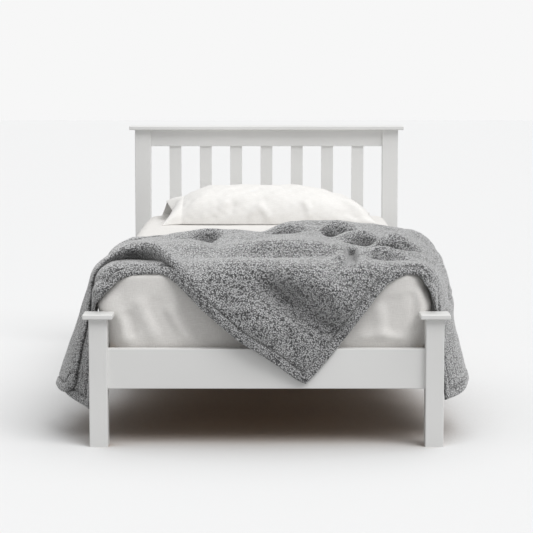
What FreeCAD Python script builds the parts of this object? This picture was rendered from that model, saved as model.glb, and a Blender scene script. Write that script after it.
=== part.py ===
import FreeCAD, Part
import math
import os

import Sketcher
from FreeCAD import Placement, Rotation, Vector

# Driving dimensions in millimetres, angles in degrees, and counts
SIZES = [
    # The mattress that the frame takes, and its play in the frame
    ("mattress_width", 900),
    ("mattress_length", 1900),
    ("mattress_depth", 238),
    ("mattress_side_gap", 8),
    ("mattress_foot_gap", 8),
    ("mattress_head_gap", 10),
    # Posts
    ("foot_post_width", 52),
    ("foot_post_depth", 52),
    ("foot_post_height", 364),
    ("head_post_width", 60),
    ("head_post_depth", 45),
    ("head_post_height", 826),
    ("post_arris", 3),
    # Caps on the posts
    ("foot_cap_thickness", 14.5),
    ("foot_cap_overhang", 16.5),
    ("head_cap_thickness", 15),
    ("head_cap_overhang", 20),
    ("cap_arris", 3.5),
    # Rails round the mattress
    ("rail_underside", 164),
    ("rail_height", 114),
    ("rail_recess", 16),
    ("side_rail_thickness", 26),
    ("foot_rail_thickness", 28),
    ("rail_arris", 2),
    ("tenon_thickness", 12),
    ("tenon_length", 15),
    ("tenon_shoulder", 10),
    ("tenon_clearance", 0.1),
    # Headboard
    ("top_rail_height", 62),
    ("bottom_rail_height", 90),
    ("bottom_rail_underside", 290),
    ("head_rail_thickness", 25),
    ("head_rail_recess", 9),
    ("head_slat_count", 7),
    ("head_slat_width", 45),
    ("head_slat_thickness", 12),
    ("head_slat_tenon", 14),
    ("head_slat_arris", 1.5),
    # Slatted base
    ("base_recess", 18),
    ("base_slat_count", 14),
    ("base_slat_width", 70),
    ("base_slat_thickness", 18),
    ("base_slat_arris", 2),
    ("base_slat_play", 3),
    ("base_end_margin", 12),
    ("ledger_width", 26),
    ("ledger_height", 28),
    ("ledger_end_play", 2),
    ("tape_width", 20),
    ("tape_thickness", 1.5),
    ("tape_inset", 150),
    # Bolted joint between a side rail and a post
    ("stud_diameter", 8),
    ("stud_in_post", 30),
    ("stud_height", 26),
    ("stud_bore", 9),
    ("stud_end", 5),
    ("washer_radius", 14),
    ("washer_seat", 30),
    ("washer_width", 16),
    ("access_length", 56),
    ("access_depth", 21),
    ("nut_flats", 13),
    ("nut_thickness", 6.5),
    ("fastener_clearance", 0.1),
    # Wooden dowels
    ("dowel_diameter", 8),
    ("rail_dowel_length", 40),
    ("rail_dowel_low", 60),
    ("rail_dowel_high", 92),
    ("cap_dowel_length", 28),
    ("cap_dowel_in_cap", 9),
    ("cap_dowel_spacing", 16),
    # Screws of the slatted base
    ("screw_diameter", 4),
    ("screw_head_diameter", 8),
    ("screw_head_height", 2.6),
    ("ledger_screw_length", 42),
    ("ledger_screw_count", 6),
    ("slat_screw_length", 36),
    # Soft pieces
    ("soft_gap", 0.3),
    ("mattress_bulge", 14),
    ("mattress_edge_radius", 44),
    ("mattress_corner_radius", 62),
    ("sheet_thickness", 1.6),
    ("sheet_tuck", 90),
    ("pillow_length", 690),
    ("pillow_width", 470),
    ("pillow_height", 128),
    ("pillow_offset", 32),
    ("pillow_head_gap", 22),
    ("pillowcase_thickness", 1.6),
    ("pillowcase_flange", 66),
    ("pillowcase_flange_height", 26),
    ("throw_thickness", 8),
    ("throw_length", 1120),
    ("throw_front_gap", 46),
    ("throw_left_drop", 412),
    ("throw_right_drop", 382),
    ("throw_left_flare", 84.5),
    ("throw_right_flare", 70.5),
    ("throw_swell", 50),
    ("throw_edge_inset", 22.5),
    ("throw_rail_gap", 2),
    ("throw_reach", 28.5),
    ("throw_tip_height", 180),
    ("throw_tip_offset", 110),
    ("throw_hem_drop", 27),
    ("throw_hem_left", 130),
    ("throw_hem_right", 58),
    ("throw_front_radius", 40),
    ("throw_flap_fold", 12),
    # Length by which a cutting tool passes the face that it opens
    ("overrun", 1),
]

doc = FreeCAD.newDocument("SingleBed")
sheet = doc.addObject("Spreadsheet::Sheet", "Sizes")
for row, (alias, number) in enumerate(SIZES, start=1):
    sheet.set(f"A{row}", alias)
    sheet.set(f"B{row}", str(number))
    sheet.setAlias(f"B{row}", alias)
doc.recompute()

# Places that several pieces share, as expressions over the sheet
HALF_WIDTH = (
    "(Sizes.mattress_width / 2 + Sizes.mattress_side_gap"
    " + Sizes.side_rail_thickness + Sizes.rail_recess)"
)
POST_RUN = (
    "(Sizes.foot_post_depth + Sizes.mattress_foot_gap"
    " + Sizes.mattress_length + Sizes.mattress_head_gap)"
)
BED_LENGTH = (
    f"(Sizes.foot_cap_overhang + {POST_RUN}"
    " + Sizes.head_post_depth + Sizes.head_cap_overhang)"
)
FOOT_FACE = f"(Sizes.foot_cap_overhang - {BED_LENGTH} / 2)"
FOOT_BACK = f"({FOOT_FACE} + Sizes.foot_post_depth)"
HEAD_FACE = f"({FOOT_FACE} + {POST_RUN})"
HEAD_POST_X = f"({HALF_WIDTH} - Sizes.head_post_width / 2)"
FOOT_POST_X = f"({HALF_WIDTH} - Sizes.foot_post_width / 2)"
SIDE_RAIL_X = f"({HALF_WIDTH} - Sizes.rail_recess - Sizes.side_rail_thickness / 2)"
SIDE_RAIL_INSIDE = "(Sizes.mattress_width / 2 + Sizes.mattress_side_gap)"
SIDE_RAIL_LENGTH = f"({HEAD_FACE} - {FOOT_BACK})"
SIDE_RAIL_MIDDLE = f"(({HEAD_FACE} + {FOOT_BACK}) / 2)"
RAIL_TOP = "(Sizes.rail_underside + Sizes.rail_height)"
SLAT_TOP = f"({RAIL_TOP} - Sizes.base_recess)"
LEDGER_TOP = f"({SLAT_TOP} - Sizes.base_slat_thickness)"
FOOT_RAIL_LENGTH = f"(2 * ({HALF_WIDTH} - Sizes.foot_post_width))"
HEAD_RAIL_LENGTH = f"(2 * ({HALF_WIDTH} - Sizes.head_post_width))"
HEAD_RAIL_Y = f"({HEAD_FACE} + Sizes.head_rail_recess + Sizes.head_rail_thickness / 2)"
TOP_RAIL_UNDERSIDE = "(Sizes.head_post_height - Sizes.top_rail_height)"
BOTTOM_RAIL_TOP = "(Sizes.bottom_rail_underside + Sizes.bottom_rail_height)"
HEAD_SLAT_PITCH = (
    f"(({HEAD_RAIL_LENGTH} - Sizes.head_slat_count * Sizes.head_slat_width)"
    " / (Sizes.head_slat_count + 1) + Sizes.head_slat_width)"
)
HEAD_SLAT_FIRST = f"(-{HEAD_SLAT_PITCH} * (Sizes.head_slat_count - 1) / 2)"
STUD_Z = "(Sizes.rail_underside + Sizes.stud_height)"
DOWEL_BORE = "(Sizes.dowel_diameter + 2 * Sizes.fastener_clearance)"
STUD_REACH = "(Sizes.washer_seat + Sizes.washer_radius + Sizes.nut_thickness + Sizes.stud_end)"

SIDES = {"left": -1, "right": 1}
PIN_CHAMFER_SHARE = 0.25
kept = []


def value(expression):
    """The number that an expression over the sheet gives"""
    result = sheet.evalExpression(str(expression))
    return float(getattr(result, "Value", result))


def keep(piece, label):
    """Gives a finished piece its name and puts it on the list of pieces"""
    piece.Label = label
    kept.append(piece)
    return piece


def place(piece, x="0", y="0", z="0"):
    """Binds a piece's place to expressions"""
    for axis, expression in (("x", x), ("y", y), ("z", z)):
        piece.setExpression(f"Placement.Base.{axis}", expression)


def new_body(label):
    return keep(doc.addObject("PartDesign::Body", label), label)


def sketch_on(body, name, role, at=("0", "0", "0")):
    """A sketch on one of the body's own origin planes, moved in that plane's axes"""
    sketch = body.newObject("Sketcher::SketchObject", name)
    plane = next(f for f in body.Origin.OriginFeatures if f.Role == role)
    sketch.AttachmentSupport = [(plane, "")]
    sketch.MapMode = "FlatFace"
    for axis, expression in zip("xyz", at):
        sketch.setExpression(f"AttachmentOffset.Base.{axis}", expression)
    return sketch


def constrain(sketch, kind, *references, expression=None):
    """Adds one constraint, with its value bound to an expression if it has one"""
    if expression is None:
        sketch.addConstraint(Sketcher.Constraint(kind, *references))
        return
    index = sketch.addConstraint(Sketcher.Constraint(kind, *references, value(expression)))
    sketch.setExpression(f"Constraints[{index}]", expression)


def rectangle(sketch, width, height):
    """A rectangle about the sketch's origin"""
    across, up = value(width) / 2, value(height) / 2
    corners = [
        Vector(-across, -up, 0),
        Vector(across, -up, 0),
        Vector(across, up, 0),
        Vector(-across, up, 0),
    ]
    for start, end in zip(corners, corners[1:] + corners[:1]):
        sketch.addGeometry(Part.LineSegment(start, end), False)
    for side in range(len(corners)):
        constrain(sketch, "Coincident", side, 2, (side + 1) % len(corners), 1)
    for side, kind in enumerate(("Horizontal", "Vertical", "Horizontal", "Vertical")):
        constrain(sketch, kind, side)
    constrain(sketch, "Symmetric", 0, 1, 1, 2, -1, 1)
    constrain(sketch, "DistanceX", 0, 1, 0, 2, expression=width)
    constrain(sketch, "DistanceY", 1, 1, 1, 2, expression=height)


def circle(sketch, diameter):
    """A circle about the sketch's origin"""
    shape = Part.Circle(Vector(0, 0, 0), Vector(0, 0, 1), value(diameter) / 2)
    sketch.addGeometry(shape, False)
    constrain(sketch, "Coincident", 0, 3, -1, 1)
    constrain(sketch, "Diameter", 0, expression=diameter)


def slot(sketch, length, radius):
    """A round-ended slot about the sketch's origin, its length between the round ends' centres"""
    reach, bend = value(length) / 2, value(radius)
    normal = Vector(0, 0, 1)
    quarter = math.pi / 2
    near = Part.Circle(Vector(-reach, 0, 0), normal, bend)
    far = Part.Circle(Vector(reach, 0, 0), normal, bend)
    sketch.addGeometry(Part.ArcOfCircle(near, quarter, 3 * quarter), False)
    sketch.addGeometry(Part.ArcOfCircle(far, -quarter, quarter), False)
    sketch.addGeometry(Part.LineSegment(Vector(-reach, -bend, 0), Vector(reach, -bend, 0)), False)
    sketch.addGeometry(Part.LineSegment(Vector(reach, bend, 0), Vector(-reach, bend, 0)), False)
    for first, second in ((0, 2), (2, 1), (1, 3), (3, 0)):
        constrain(sketch, "Tangent", first, 2, second, 1)
    constrain(sketch, "Horizontal", 2)
    constrain(sketch, "Symmetric", 0, 3, 1, 3, -1, 1)
    constrain(sketch, "DistanceX", 0, 3, 1, 3, expression=length)
    constrain(sketch, "Radius", 0, expression=radius)


def pad(body, name, sketch, length, both_ways=False):
    feature = body.newObject("PartDesign::Pad", name)
    feature.Profile = sketch
    feature.setExpression("Length", length)
    if both_ways:
        feature.SideType = "Symmetric"
    return feature


def pocket(body, name, sketch, depth, reverse=False):
    """A cut against the sketch's normal, or along it where reverse is set"""
    feature = body.newObject("PartDesign::Pocket", name)
    feature.Profile = sketch
    feature.setExpression("Length", depth)
    feature.Reversed = reverse
    return feature


def bore(body, name, role, at, diameter, depth, reverse=False):
    """A round blind hole with its mouth at the given place"""
    sketch = sketch_on(body, f"{name}Sketch", role, at)
    circle(sketch, diameter)
    return pocket(body, name, sketch, depth, reverse)


def mortise(body, name, role, at, width, height, depth, reverse=False):
    """A rectangular blind hole with its mouth at the given place"""
    sketch = sketch_on(body, f"{name}Sketch", role, at)
    rectangle(sketch, width, height)
    return pocket(body, name, sketch, depth, reverse)


def round_edges(body, name, base, radius, wanted):
    """Rounds the straight edges of the base for which wanted(edge, direction) holds"""
    doc.recompute()
    names = []
    for index, edge in enumerate(base.Shape.Edges, start=1):
        if not isinstance(edge.Curve, Part.Line):
            continue
        if wanted(edge, edge.Curve.Direction):
            names.append(f"Edge{index}")
    fillet = body.newObject("PartDesign::Fillet", name)
    fillet.Base = (base, names)
    fillet.setExpression("Radius", radius)
    return fillet


def runs_along(axis):
    """A test for the edges that run along one axis"""
    return lambda edge, direction: abs(getattr(direction, axis)) > math.cos(math.radians(1))


def any_edge(edge, direction):
    return True


def group(label, shape, places):
    """One piece made of the same solid at several placements"""
    piece = doc.addObject("Part::Feature", label)
    copies = []
    for placement in places:
        copy = shape.copy()
        copy.Placement = placement.multiply(copy.Placement)
        copies.append(copy)
    piece.Shape = Part.makeCompound(copies)
    return keep(piece, label)


def countersunk_screw(length):
    """A countersunk wood screw that points down, its head's face at zero"""
    shank = value("Sizes.screw_diameter") / 2
    head = value("Sizes.screw_head_diameter") / 2
    depth = value("Sizes.screw_head_height")
    outline = [
        Vector(0, 0, 0),
        Vector(head, 0, 0),
        Vector(shank, 0, -depth),
        Vector(shank, 0, -length + shank),
        Vector(0, 0, -length),
    ]
    face = Part.Face(Part.makePolygon(outline + outline[:1]))
    return face.revolve(Vector(0, 0, 0), Vector(0, 0, 1), 360)


# Posts of the foot end
def foot_post(side, sign):
    body = new_body(f"foot_post_{side}")
    place(body, x=f"{sign} * {FOOT_POST_X}", y=f"{FOOT_FACE} + Sizes.foot_post_depth / 2")
    section = sketch_on(body, "Section", "XY_Plane")
    rectangle(section, "Sizes.foot_post_width", "Sizes.foot_post_depth")
    post = pad(body, "Post", section, "Sizes.foot_post_height")
    round_edges(body, "Arrises", post, "Sizes.post_arris", runs_along("z"))
    inside = -sign
    rail_y = "Sizes.rail_recess + Sizes.foot_rail_thickness / 2 - Sizes.foot_post_depth / 2"
    mortise(
        body, "RailMortise", "YZ_Plane",
        (rail_y, "Sizes.rail_underside + Sizes.rail_height / 2", f"{inside} * Sizes.foot_post_width / 2"),
        "Sizes.tenon_thickness + 2 * Sizes.tenon_clearance",
        "Sizes.rail_height - 2 * Sizes.tenon_shoulder + 2 * Sizes.tenon_clearance",
        "Sizes.tenon_length + Sizes.tenon_clearance",
        reverse=sign > 0,
    )
    joint_bores(body, f"{sign} * ({SIDE_RAIL_X} - {FOOT_POST_X})", "-Sizes.foot_post_depth / 2", True)
    cap_bores(body, "Sizes.foot_post_height", "y")
    return body


# Posts of the headboard
def head_post(side, sign):
    body = new_body(f"head_post_{side}")
    place(body, x=f"{sign} * {HEAD_POST_X}", y=f"{HEAD_FACE} + Sizes.head_post_depth / 2")
    section = sketch_on(body, "Section", "XY_Plane")
    rectangle(section, "Sizes.head_post_width", "Sizes.head_post_depth")
    post = pad(body, "Post", section, "Sizes.head_post_height")
    round_edges(body, "Arrises", post, "Sizes.post_arris", runs_along("z"))
    inside = -sign
    rail_y = "Sizes.head_rail_recess + Sizes.head_rail_thickness / 2 - Sizes.head_post_depth / 2"
    rails = (
        ("TopMortise", TOP_RAIL_UNDERSIDE, "Sizes.top_rail_height"),
        ("BottomMortise", "Sizes.bottom_rail_underside", "Sizes.bottom_rail_height"),
    )
    for name, underside, height in rails:
        mortise(
            body, name, "YZ_Plane",
            (rail_y, f"{underside} + {height} / 2", f"{inside} * Sizes.head_post_width / 2"),
            "Sizes.tenon_thickness + 2 * Sizes.tenon_clearance",
            f"{height} - 2 * Sizes.tenon_shoulder + 2 * Sizes.tenon_clearance",
            "Sizes.tenon_length + Sizes.tenon_clearance",
            reverse=sign > 0,
        )
    joint_bores(body, f"{sign} * ({SIDE_RAIL_X} - {HEAD_POST_X})", "Sizes.head_post_depth / 2", False)
    cap_bores(body, "Sizes.head_post_height", "x")
    return body


def joint_bores(body, across, mouth, reverse):
    """Blind bores for the stud and the two dowels of a side rail, in a post's face"""
    bore(
        body, "StudBore", "XZ_Plane", (across, STUD_Z, mouth),
        "Sizes.stud_diameter + 2 * Sizes.fastener_clearance",
        "Sizes.stud_in_post + Sizes.fastener_clearance", reverse,
    )
    for name in ("low", "high"):
        bore(
            body, f"Dowel{name.title()}", "XZ_Plane",
            (across, f"Sizes.rail_underside + Sizes.rail_dowel_{name}", mouth),
            DOWEL_BORE, "Sizes.rail_dowel_length / 2 + Sizes.fastener_clearance", reverse,
        )


def cap_bores(body, top, axis):
    """Two blind bores in a post's top for the dowels of its cap"""
    for name, sign in (("First", -1), ("Second", 1)):
        step = f"{sign} * Sizes.cap_dowel_spacing / 2"
        at = (step, "0", top) if axis == "x" else ("0", step, top)
        bore(
            body, f"CapDowel{name}", "XY_Plane", at, DOWEL_BORE,
            "Sizes.cap_dowel_length - Sizes.cap_dowel_in_cap + Sizes.fastener_clearance",
        )


# Caps
def cap(label, width, depth, thickness, at, dowels):
    """A flat cap with rounded edges all round and blind dowel bores in its underside"""
    body = new_body(label)
    place(body, *at)
    outline = sketch_on(body, "Outline", "XY_Plane")
    rectangle(outline, width, depth)
    plate = pad(body, "Plate", outline, thickness)
    round_edges(body, "Rounds", plate, "Sizes.cap_arris", any_edge)
    for index, (x, y) in enumerate(dowels, start=1):
        bore(
            body, f"Dowel{index}", "XY_Plane", (x, y, "0"), DOWEL_BORE,
            "Sizes.cap_dowel_in_cap + Sizes.fastener_clearance", reverse=True,
        )
    return body


def foot_cap(side, sign):
    half = "Sizes.cap_dowel_spacing / 2"
    return cap(
        f"foot_post_cap_{side}",
        "Sizes.foot_post_width + 2 * Sizes.foot_cap_overhang",
        "Sizes.foot_post_depth + 2 * Sizes.foot_cap_overhang",
        "Sizes.foot_cap_thickness",
        (f"{sign} * {FOOT_POST_X}", f"{FOOT_FACE} + Sizes.foot_post_depth / 2", "Sizes.foot_post_height"),
        [("0", f"-{half}"), ("0", half)],
    )


def headboard_cap():
    dowels = []
    for sign in SIDES.values():
        for step in (-1, 1):
            dowels.append((f"{sign} * {HEAD_POST_X} + {step} * Sizes.cap_dowel_spacing / 2", "0"))
    return cap(
        "headboard_cap",
        f"2 * ({HALF_WIDTH} + Sizes.head_cap_overhang)",
        "Sizes.head_post_depth + 2 * Sizes.head_cap_overhang",
        "Sizes.head_cap_thickness",
        ("0", f"{HEAD_FACE} + Sizes.head_post_depth / 2", "Sizes.head_post_height"),
        dowels,
    )


# Rails that run across the bed, tenoned into the posts
def cross_rail(label, length, thickness, height, y, underside):
    """A rail with a stub tenon at each end"""
    body = new_body(label)
    place(body, y=y, z=f"{underside} + {height} / 2")
    section = sketch_on(body, "Section", "YZ_Plane")
    rectangle(section, thickness, height)
    rail = pad(body, "Rail", section, length, both_ways=True)
    round_edges(body, "Arrises", rail, "Sizes.rail_arris", runs_along("x"))
    tenon = sketch_on(body, "TenonSection", "YZ_Plane")
    rectangle(tenon, "Sizes.tenon_thickness", f"{height} - 2 * Sizes.tenon_shoulder")
    pad(body, "Tenons", tenon, f"{length} + 2 * Sizes.tenon_length", both_ways=True)
    return body


def foot_rail():
    return cross_rail(
        "foot_rail", FOOT_RAIL_LENGTH, "Sizes.foot_rail_thickness", "Sizes.rail_height",
        f"{FOOT_FACE} + Sizes.rail_recess + Sizes.foot_rail_thickness / 2", "Sizes.rail_underside",
    )


def headboard_rail(label, height, underside, edge_sign):
    """A headboard rail with a row of mortises for the slats in its upper or lower edge"""
    body = cross_rail(
        label, HEAD_RAIL_LENGTH, "Sizes.head_rail_thickness", height, HEAD_RAIL_Y, underside
    )
    first = mortise(
        body, "SlatMortise", "XY_Plane", (HEAD_SLAT_FIRST, "0", f"{edge_sign} * {height} / 2"),
        "Sizes.head_slat_width + 2 * Sizes.tenon_clearance",
        "Sizes.head_slat_thickness + 2 * Sizes.tenon_clearance",
        "Sizes.head_slat_tenon + Sizes.tenon_clearance",
        reverse=edge_sign < 0,
    )
    row = body.newObject("PartDesign::LinearPattern", "SlatMortises")
    row.Originals = [first]
    axis = next(f for f in body.Origin.OriginFeatures if f.Role == "X_Axis")
    row.Direction = (axis, [""])
    row.setExpression("Length", f"{HEAD_SLAT_PITCH} * (Sizes.head_slat_count - 1)")
    row.setExpression("Occurrences", "Sizes.head_slat_count")
    body.Tip = row
    return body


def headboard_slat(index):
    """An upright slat between the two headboard rails"""
    body = new_body(f"headboard_slat_{index + 1}")
    place(
        body, x=f"{HEAD_SLAT_FIRST} + {index} * {HEAD_SLAT_PITCH}", y=HEAD_RAIL_Y,
        z=f"{BOTTOM_RAIL_TOP} - Sizes.head_slat_tenon",
    )
    section = sketch_on(body, "Section", "XY_Plane")
    rectangle(section, "Sizes.head_slat_width", "Sizes.head_slat_thickness")
    slat = pad(
        body, "Slat", section,
        f"{TOP_RAIL_UNDERSIDE} - {BOTTOM_RAIL_TOP} + 2 * Sizes.head_slat_tenon",
    )
    round_edges(body, "Arrises", slat, "Sizes.head_slat_arris", runs_along("z"))
    return body


# Side rails, bolted to the posts
def side_rail(side, sign):
    """A side rail with a stud bore, an access slot and two dowel bores at each end"""
    body = new_body(f"side_rail_{side}")
    place(body, x=f"{sign} * {SIDE_RAIL_X}", y=SIDE_RAIL_MIDDLE, z="Sizes.rail_underside")
    section = sketch_on(body, "Section", "XZ_Plane", ("0", "Sizes.rail_height / 2", "0"))
    rectangle(section, "Sizes.side_rail_thickness", "Sizes.rail_height")
    rail = pad(body, "Rail", section, SIDE_RAIL_LENGTH, both_ways=True)
    round_edges(body, "Arrises", rail, "Sizes.rail_arris", runs_along("y"))
    mouth = f"-{SIDE_RAIL_LENGTH} / 2"
    cuts = [
        bore(
            body, "StudBore", "XZ_Plane", ("0", "Sizes.stud_height", mouth), "Sizes.stud_bore",
            "Sizes.washer_seat + Sizes.washer_radius", reverse=True,
        )
    ]
    for name in ("low", "high"):
        cuts.append(
            bore(
                body, f"Dowel{name.title()}", "XZ_Plane", ("0", f"Sizes.rail_dowel_{name}", mouth),
                DOWEL_BORE, "Sizes.rail_dowel_length / 2 + Sizes.fastener_clearance", reverse=True,
            )
        )
    middle = f"{SIDE_RAIL_LENGTH} / 2 - Sizes.washer_seat - Sizes.access_length / 2"
    access = sketch_on(
        body, "AccessOutline", "YZ_Plane",
        (middle, "Sizes.stud_height", f"{-sign} * Sizes.side_rail_thickness / 2"),
    )
    slot(
        access, "Sizes.access_length - 2 * (Sizes.washer_radius + Sizes.fastener_clearance)",
        "Sizes.washer_radius + Sizes.fastener_clearance",
    )
    cuts.append(pocket(body, "AccessSlot", access, "Sizes.access_depth", reverse=sign > 0))
    both_ends = body.newObject("PartDesign::Mirrored", "BothEnds")
    both_ends.Originals = cuts
    plane = next(f for f in body.Origin.OriginFeatures if f.Role == "XZ_Plane")
    both_ends.MirrorPlane = (plane, [""])
    body.Tip = both_ends
    return body


# Fixings of the side rails
def joint_places(height, at_foot, at_head):
    """A placement at each of the four rail ends, its Z axis pointing out of the post into the rail"""
    places = []
    for sign in SIDES.values():
        x = sign * value(SIDE_RAIL_X)
        foot = Vector(x, value(FOOT_BACK) + at_foot, height)
        head = Vector(x, value(HEAD_FACE) - at_head, height)
        places.append(Placement(foot, Rotation(Vector(1, 0, 0), -90)))
        places.append(Placement(head, Rotation(Vector(1, 0, 0), 90)))
    return places


def chamfered_pin(radius, length):
    """A pin with chamfered ends, standing on zero"""
    taper = radius * PIN_CHAMFER_SHARE
    pin = Part.makeCylinder(radius, length - 2 * taper, Vector(0, 0, taper))
    for start, wide, narrow in ((0, radius - taper, radius), (length - taper, radius, radius - taper)):
        pin = pin.fuse(Part.makeCone(wide, narrow, taper, Vector(0, 0, start)))
    return pin.removeSplitter()


def rail_studs():
    """Studs screwed into the posts, which reach into the access slots"""
    in_post = value("Sizes.stud_in_post")
    stud = chamfered_pin(value("Sizes.stud_diameter") / 2, in_post + value(STUD_REACH))
    return group("rail_studs", stud, joint_places(value(STUD_Z), -in_post, -in_post))


def half_moon_washers():
    """Half-round washers, the round side seated in the round end of the access slot"""
    radius = value("Sizes.washer_radius")
    width = value("Sizes.washer_width")
    whole = Part.makeCylinder(radius, width, Vector(-width / 2, 0, 0), Vector(1, 0, 0))
    upper = Part.makeBox(width, 2 * radius, radius, Vector(-width / 2, -radius, 0))
    hole = Part.makeCylinder(value("Sizes.stud_bore") / 2, 2 * radius, Vector(0, 0, -radius))
    washer = whole.cut(upper).cut(hole)
    seat = value("Sizes.washer_seat") + radius
    return group("half_moon_washers", washer, joint_places(value(STUD_Z), seat, seat))


def stud_nuts():
    """Hexagon nuts on the flat of the half-round washers"""
    corner = value("Sizes.nut_flats") / math.sqrt(3)
    thickness = value("Sizes.nut_thickness")
    corners = []
    for index in range(6):
        angle = math.radians(60 * index)
        corners.append(Vector(corner * math.cos(angle), corner * math.sin(angle), 0))
    hexagon = Part.Face(Part.makePolygon(corners + corners[:1]))
    nut = hexagon.extrude(Vector(0, 0, thickness))
    bore_radius = value("Sizes.stud_diameter") / 2 + value("Sizes.fastener_clearance")
    nut = nut.cut(Part.makeCylinder(bore_radius, thickness))
    seat = value("Sizes.washer_seat") + value("Sizes.washer_radius")
    return group("stud_nuts", nut, joint_places(value(STUD_Z), seat, seat))


def rail_dowels():
    """Two locating dowels at each end of each side rail"""
    length = value("Sizes.rail_dowel_length")
    places = []
    for name in ("low", "high"):
        height = value(f"Sizes.rail_underside + Sizes.rail_dowel_{name}")
        places += joint_places(height, -length / 2, -length / 2)
    pin = chamfered_pin(value("Sizes.dowel_diameter") / 2, length)
    return group("rail_dowels", pin, places)


def cap_dowels():
    """Two dowels between each post and its cap"""
    length = value("Sizes.cap_dowel_length")
    down = length - value("Sizes.cap_dowel_in_cap")
    step = value("Sizes.cap_dowel_spacing") / 2
    foot_y = value(f"{FOOT_FACE} + Sizes.foot_post_depth / 2")
    head_y = value(f"{HEAD_FACE} + Sizes.head_post_depth / 2")
    places = []
    for sign in SIDES.values():
        for move in (-step, step):
            foot = Vector(sign * value(FOOT_POST_X), foot_y + move, value("Sizes.foot_post_height") - down)
            head = Vector(sign * value(HEAD_POST_X) + move, head_y, value("Sizes.head_post_height") - down)
            places.append(Placement(foot, Rotation()))
            places.append(Placement(head, Rotation()))
    pin = chamfered_pin(value("Sizes.dowel_diameter") / 2, length)
    return group("cap_dowels", pin, places)


# Slatted base
LEDGER_LENGTH = f"({SIDE_RAIL_LENGTH} - 2 * Sizes.ledger_end_play)"
LEDGER_X = f"({SIDE_RAIL_INSIDE} - Sizes.ledger_width / 2)"
LEDGER_SCREW_PITCH = f"({LEDGER_LENGTH} / Sizes.ledger_screw_count)"
BASE_RUN = (
    f"({SIDE_RAIL_LENGTH} - 2 * Sizes.base_end_margin - Sizes.base_slat_width)"
)
BASE_PITCH = f"({BASE_RUN} / (Sizes.base_slat_count - 1))"
BASE_FIRST = f"({FOOT_BACK} + Sizes.base_end_margin + Sizes.base_slat_width / 2)"


def screw_hole(body, name, role, at, depth, reverse=False):
    """A clearance bore with a countersink at its mouth"""
    wide = "Sizes.screw_diameter + 2 * Sizes.fastener_clearance"
    shank = bore(body, name, role, at, wide, depth, reverse)
    sink = sketch_on(body, f"{name}SinkSketch", role, at)
    circle(sink, "Sizes.screw_head_diameter + 2 * Sizes.fastener_clearance")
    cut = pocket(body, f"{name}Sink", sink, "Sizes.screw_head_height", reverse)
    slope = "atan((Sizes.screw_head_diameter - Sizes.screw_diameter) / 2 / Sizes.screw_head_height)"
    cut.setExpression("TaperAngle", f"-{slope}")
    return [shank, cut]


def slat_ledger(side, sign):
    """A cleat along the inside of a side rail, with countersunk screw holes and pilot holes"""
    body = new_body(f"slat_ledger_{side}")
    place(body, x=f"{sign} * {LEDGER_X}", y=SIDE_RAIL_MIDDLE, z=f"{LEDGER_TOP} - Sizes.ledger_height / 2")
    section = sketch_on(body, "Section", "XZ_Plane")
    rectangle(section, "Sizes.ledger_width", "Sizes.ledger_height")
    cleat = pad(body, "Cleat", section, LEDGER_LENGTH, both_ways=True)
    round_edges(body, "Arrises", cleat, "Sizes.rail_arris", runs_along("y"))
    first = f"{LEDGER_SCREW_PITCH} / 2 - {LEDGER_LENGTH} / 2"
    holes = screw_hole(
        body, "Screw", "YZ_Plane", (first, "0", f"{-sign} * Sizes.ledger_width / 2"),
        "Sizes.ledger_width", reverse=sign > 0,
    )
    row = body.newObject("PartDesign::LinearPattern", "Screws")
    row.Originals = holes
    axis = next(f for f in body.Origin.OriginFeatures if f.Role == "Y_Axis")
    row.Direction = (axis, [""])
    row.setExpression("Length", f"{LEDGER_SCREW_PITCH} * (Sizes.ledger_screw_count - 1)")
    row.setExpression("Occurrences", "Sizes.ledger_screw_count")
    body.Tip = row
    for name, end in (("Foot", -1), ("Head", 1)):
        bore(
            body, f"Pilot{name}", "XY_Plane",
            ("0", f"{end} * {BASE_RUN} / 2", "Sizes.ledger_height / 2"),
            "Sizes.screw_diameter + 2 * Sizes.fastener_clearance",
            "Sizes.slat_screw_length - Sizes.base_slat_thickness + Sizes.fastener_clearance",
        )
    return body


def side_rail_pilots(body, sign):
    """Pilot bores in a side rail for the screws of its ledger"""
    depth = "Sizes.ledger_screw_length - Sizes.ledger_width + Sizes.fastener_clearance"
    first = f"{LEDGER_SCREW_PITCH} / 2 - {LEDGER_LENGTH} / 2"
    height = f"{LEDGER_TOP} - Sizes.ledger_height / 2 - Sizes.rail_underside"
    pilot = bore(
        body, "Pilot", "YZ_Plane", (first, height, f"{-sign} * Sizes.side_rail_thickness / 2"),
        "Sizes.screw_diameter + 2 * Sizes.fastener_clearance", depth, reverse=sign > 0,
    )
    row = body.newObject("PartDesign::LinearPattern", "Pilots")
    row.Originals = [pilot]
    axis = next(f for f in body.Origin.OriginFeatures if f.Role == "Y_Axis")
    row.Direction = (axis, [""])
    row.setExpression("Length", f"{LEDGER_SCREW_PITCH} * (Sizes.ledger_screw_count - 1)")
    row.setExpression("Occurrences", "Sizes.ledger_screw_count")
    body.Tip = row


def ledger_screws():
    """The screws that hold the ledgers to the side rails"""
    count = int(value("Sizes.ledger_screw_count"))
    pitch = value(LEDGER_SCREW_PITCH)
    height = value(f"{LEDGER_TOP} - Sizes.ledger_height / 2")
    face = value(f"{SIDE_RAIL_INSIDE} - Sizes.ledger_width")
    first = value(SIDE_RAIL_MIDDLE) - pitch * (count - 1) / 2
    places = []
    for sign in SIDES.values():
        for index in range(count):
            spot = Vector(sign * face, first + index * pitch, height)
            places.append(Placement(spot, Rotation(Vector(0, 1, 0), -90 * sign)))
    return group("ledger_screws", countersunk_screw(value("Sizes.ledger_screw_length")), places)


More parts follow.
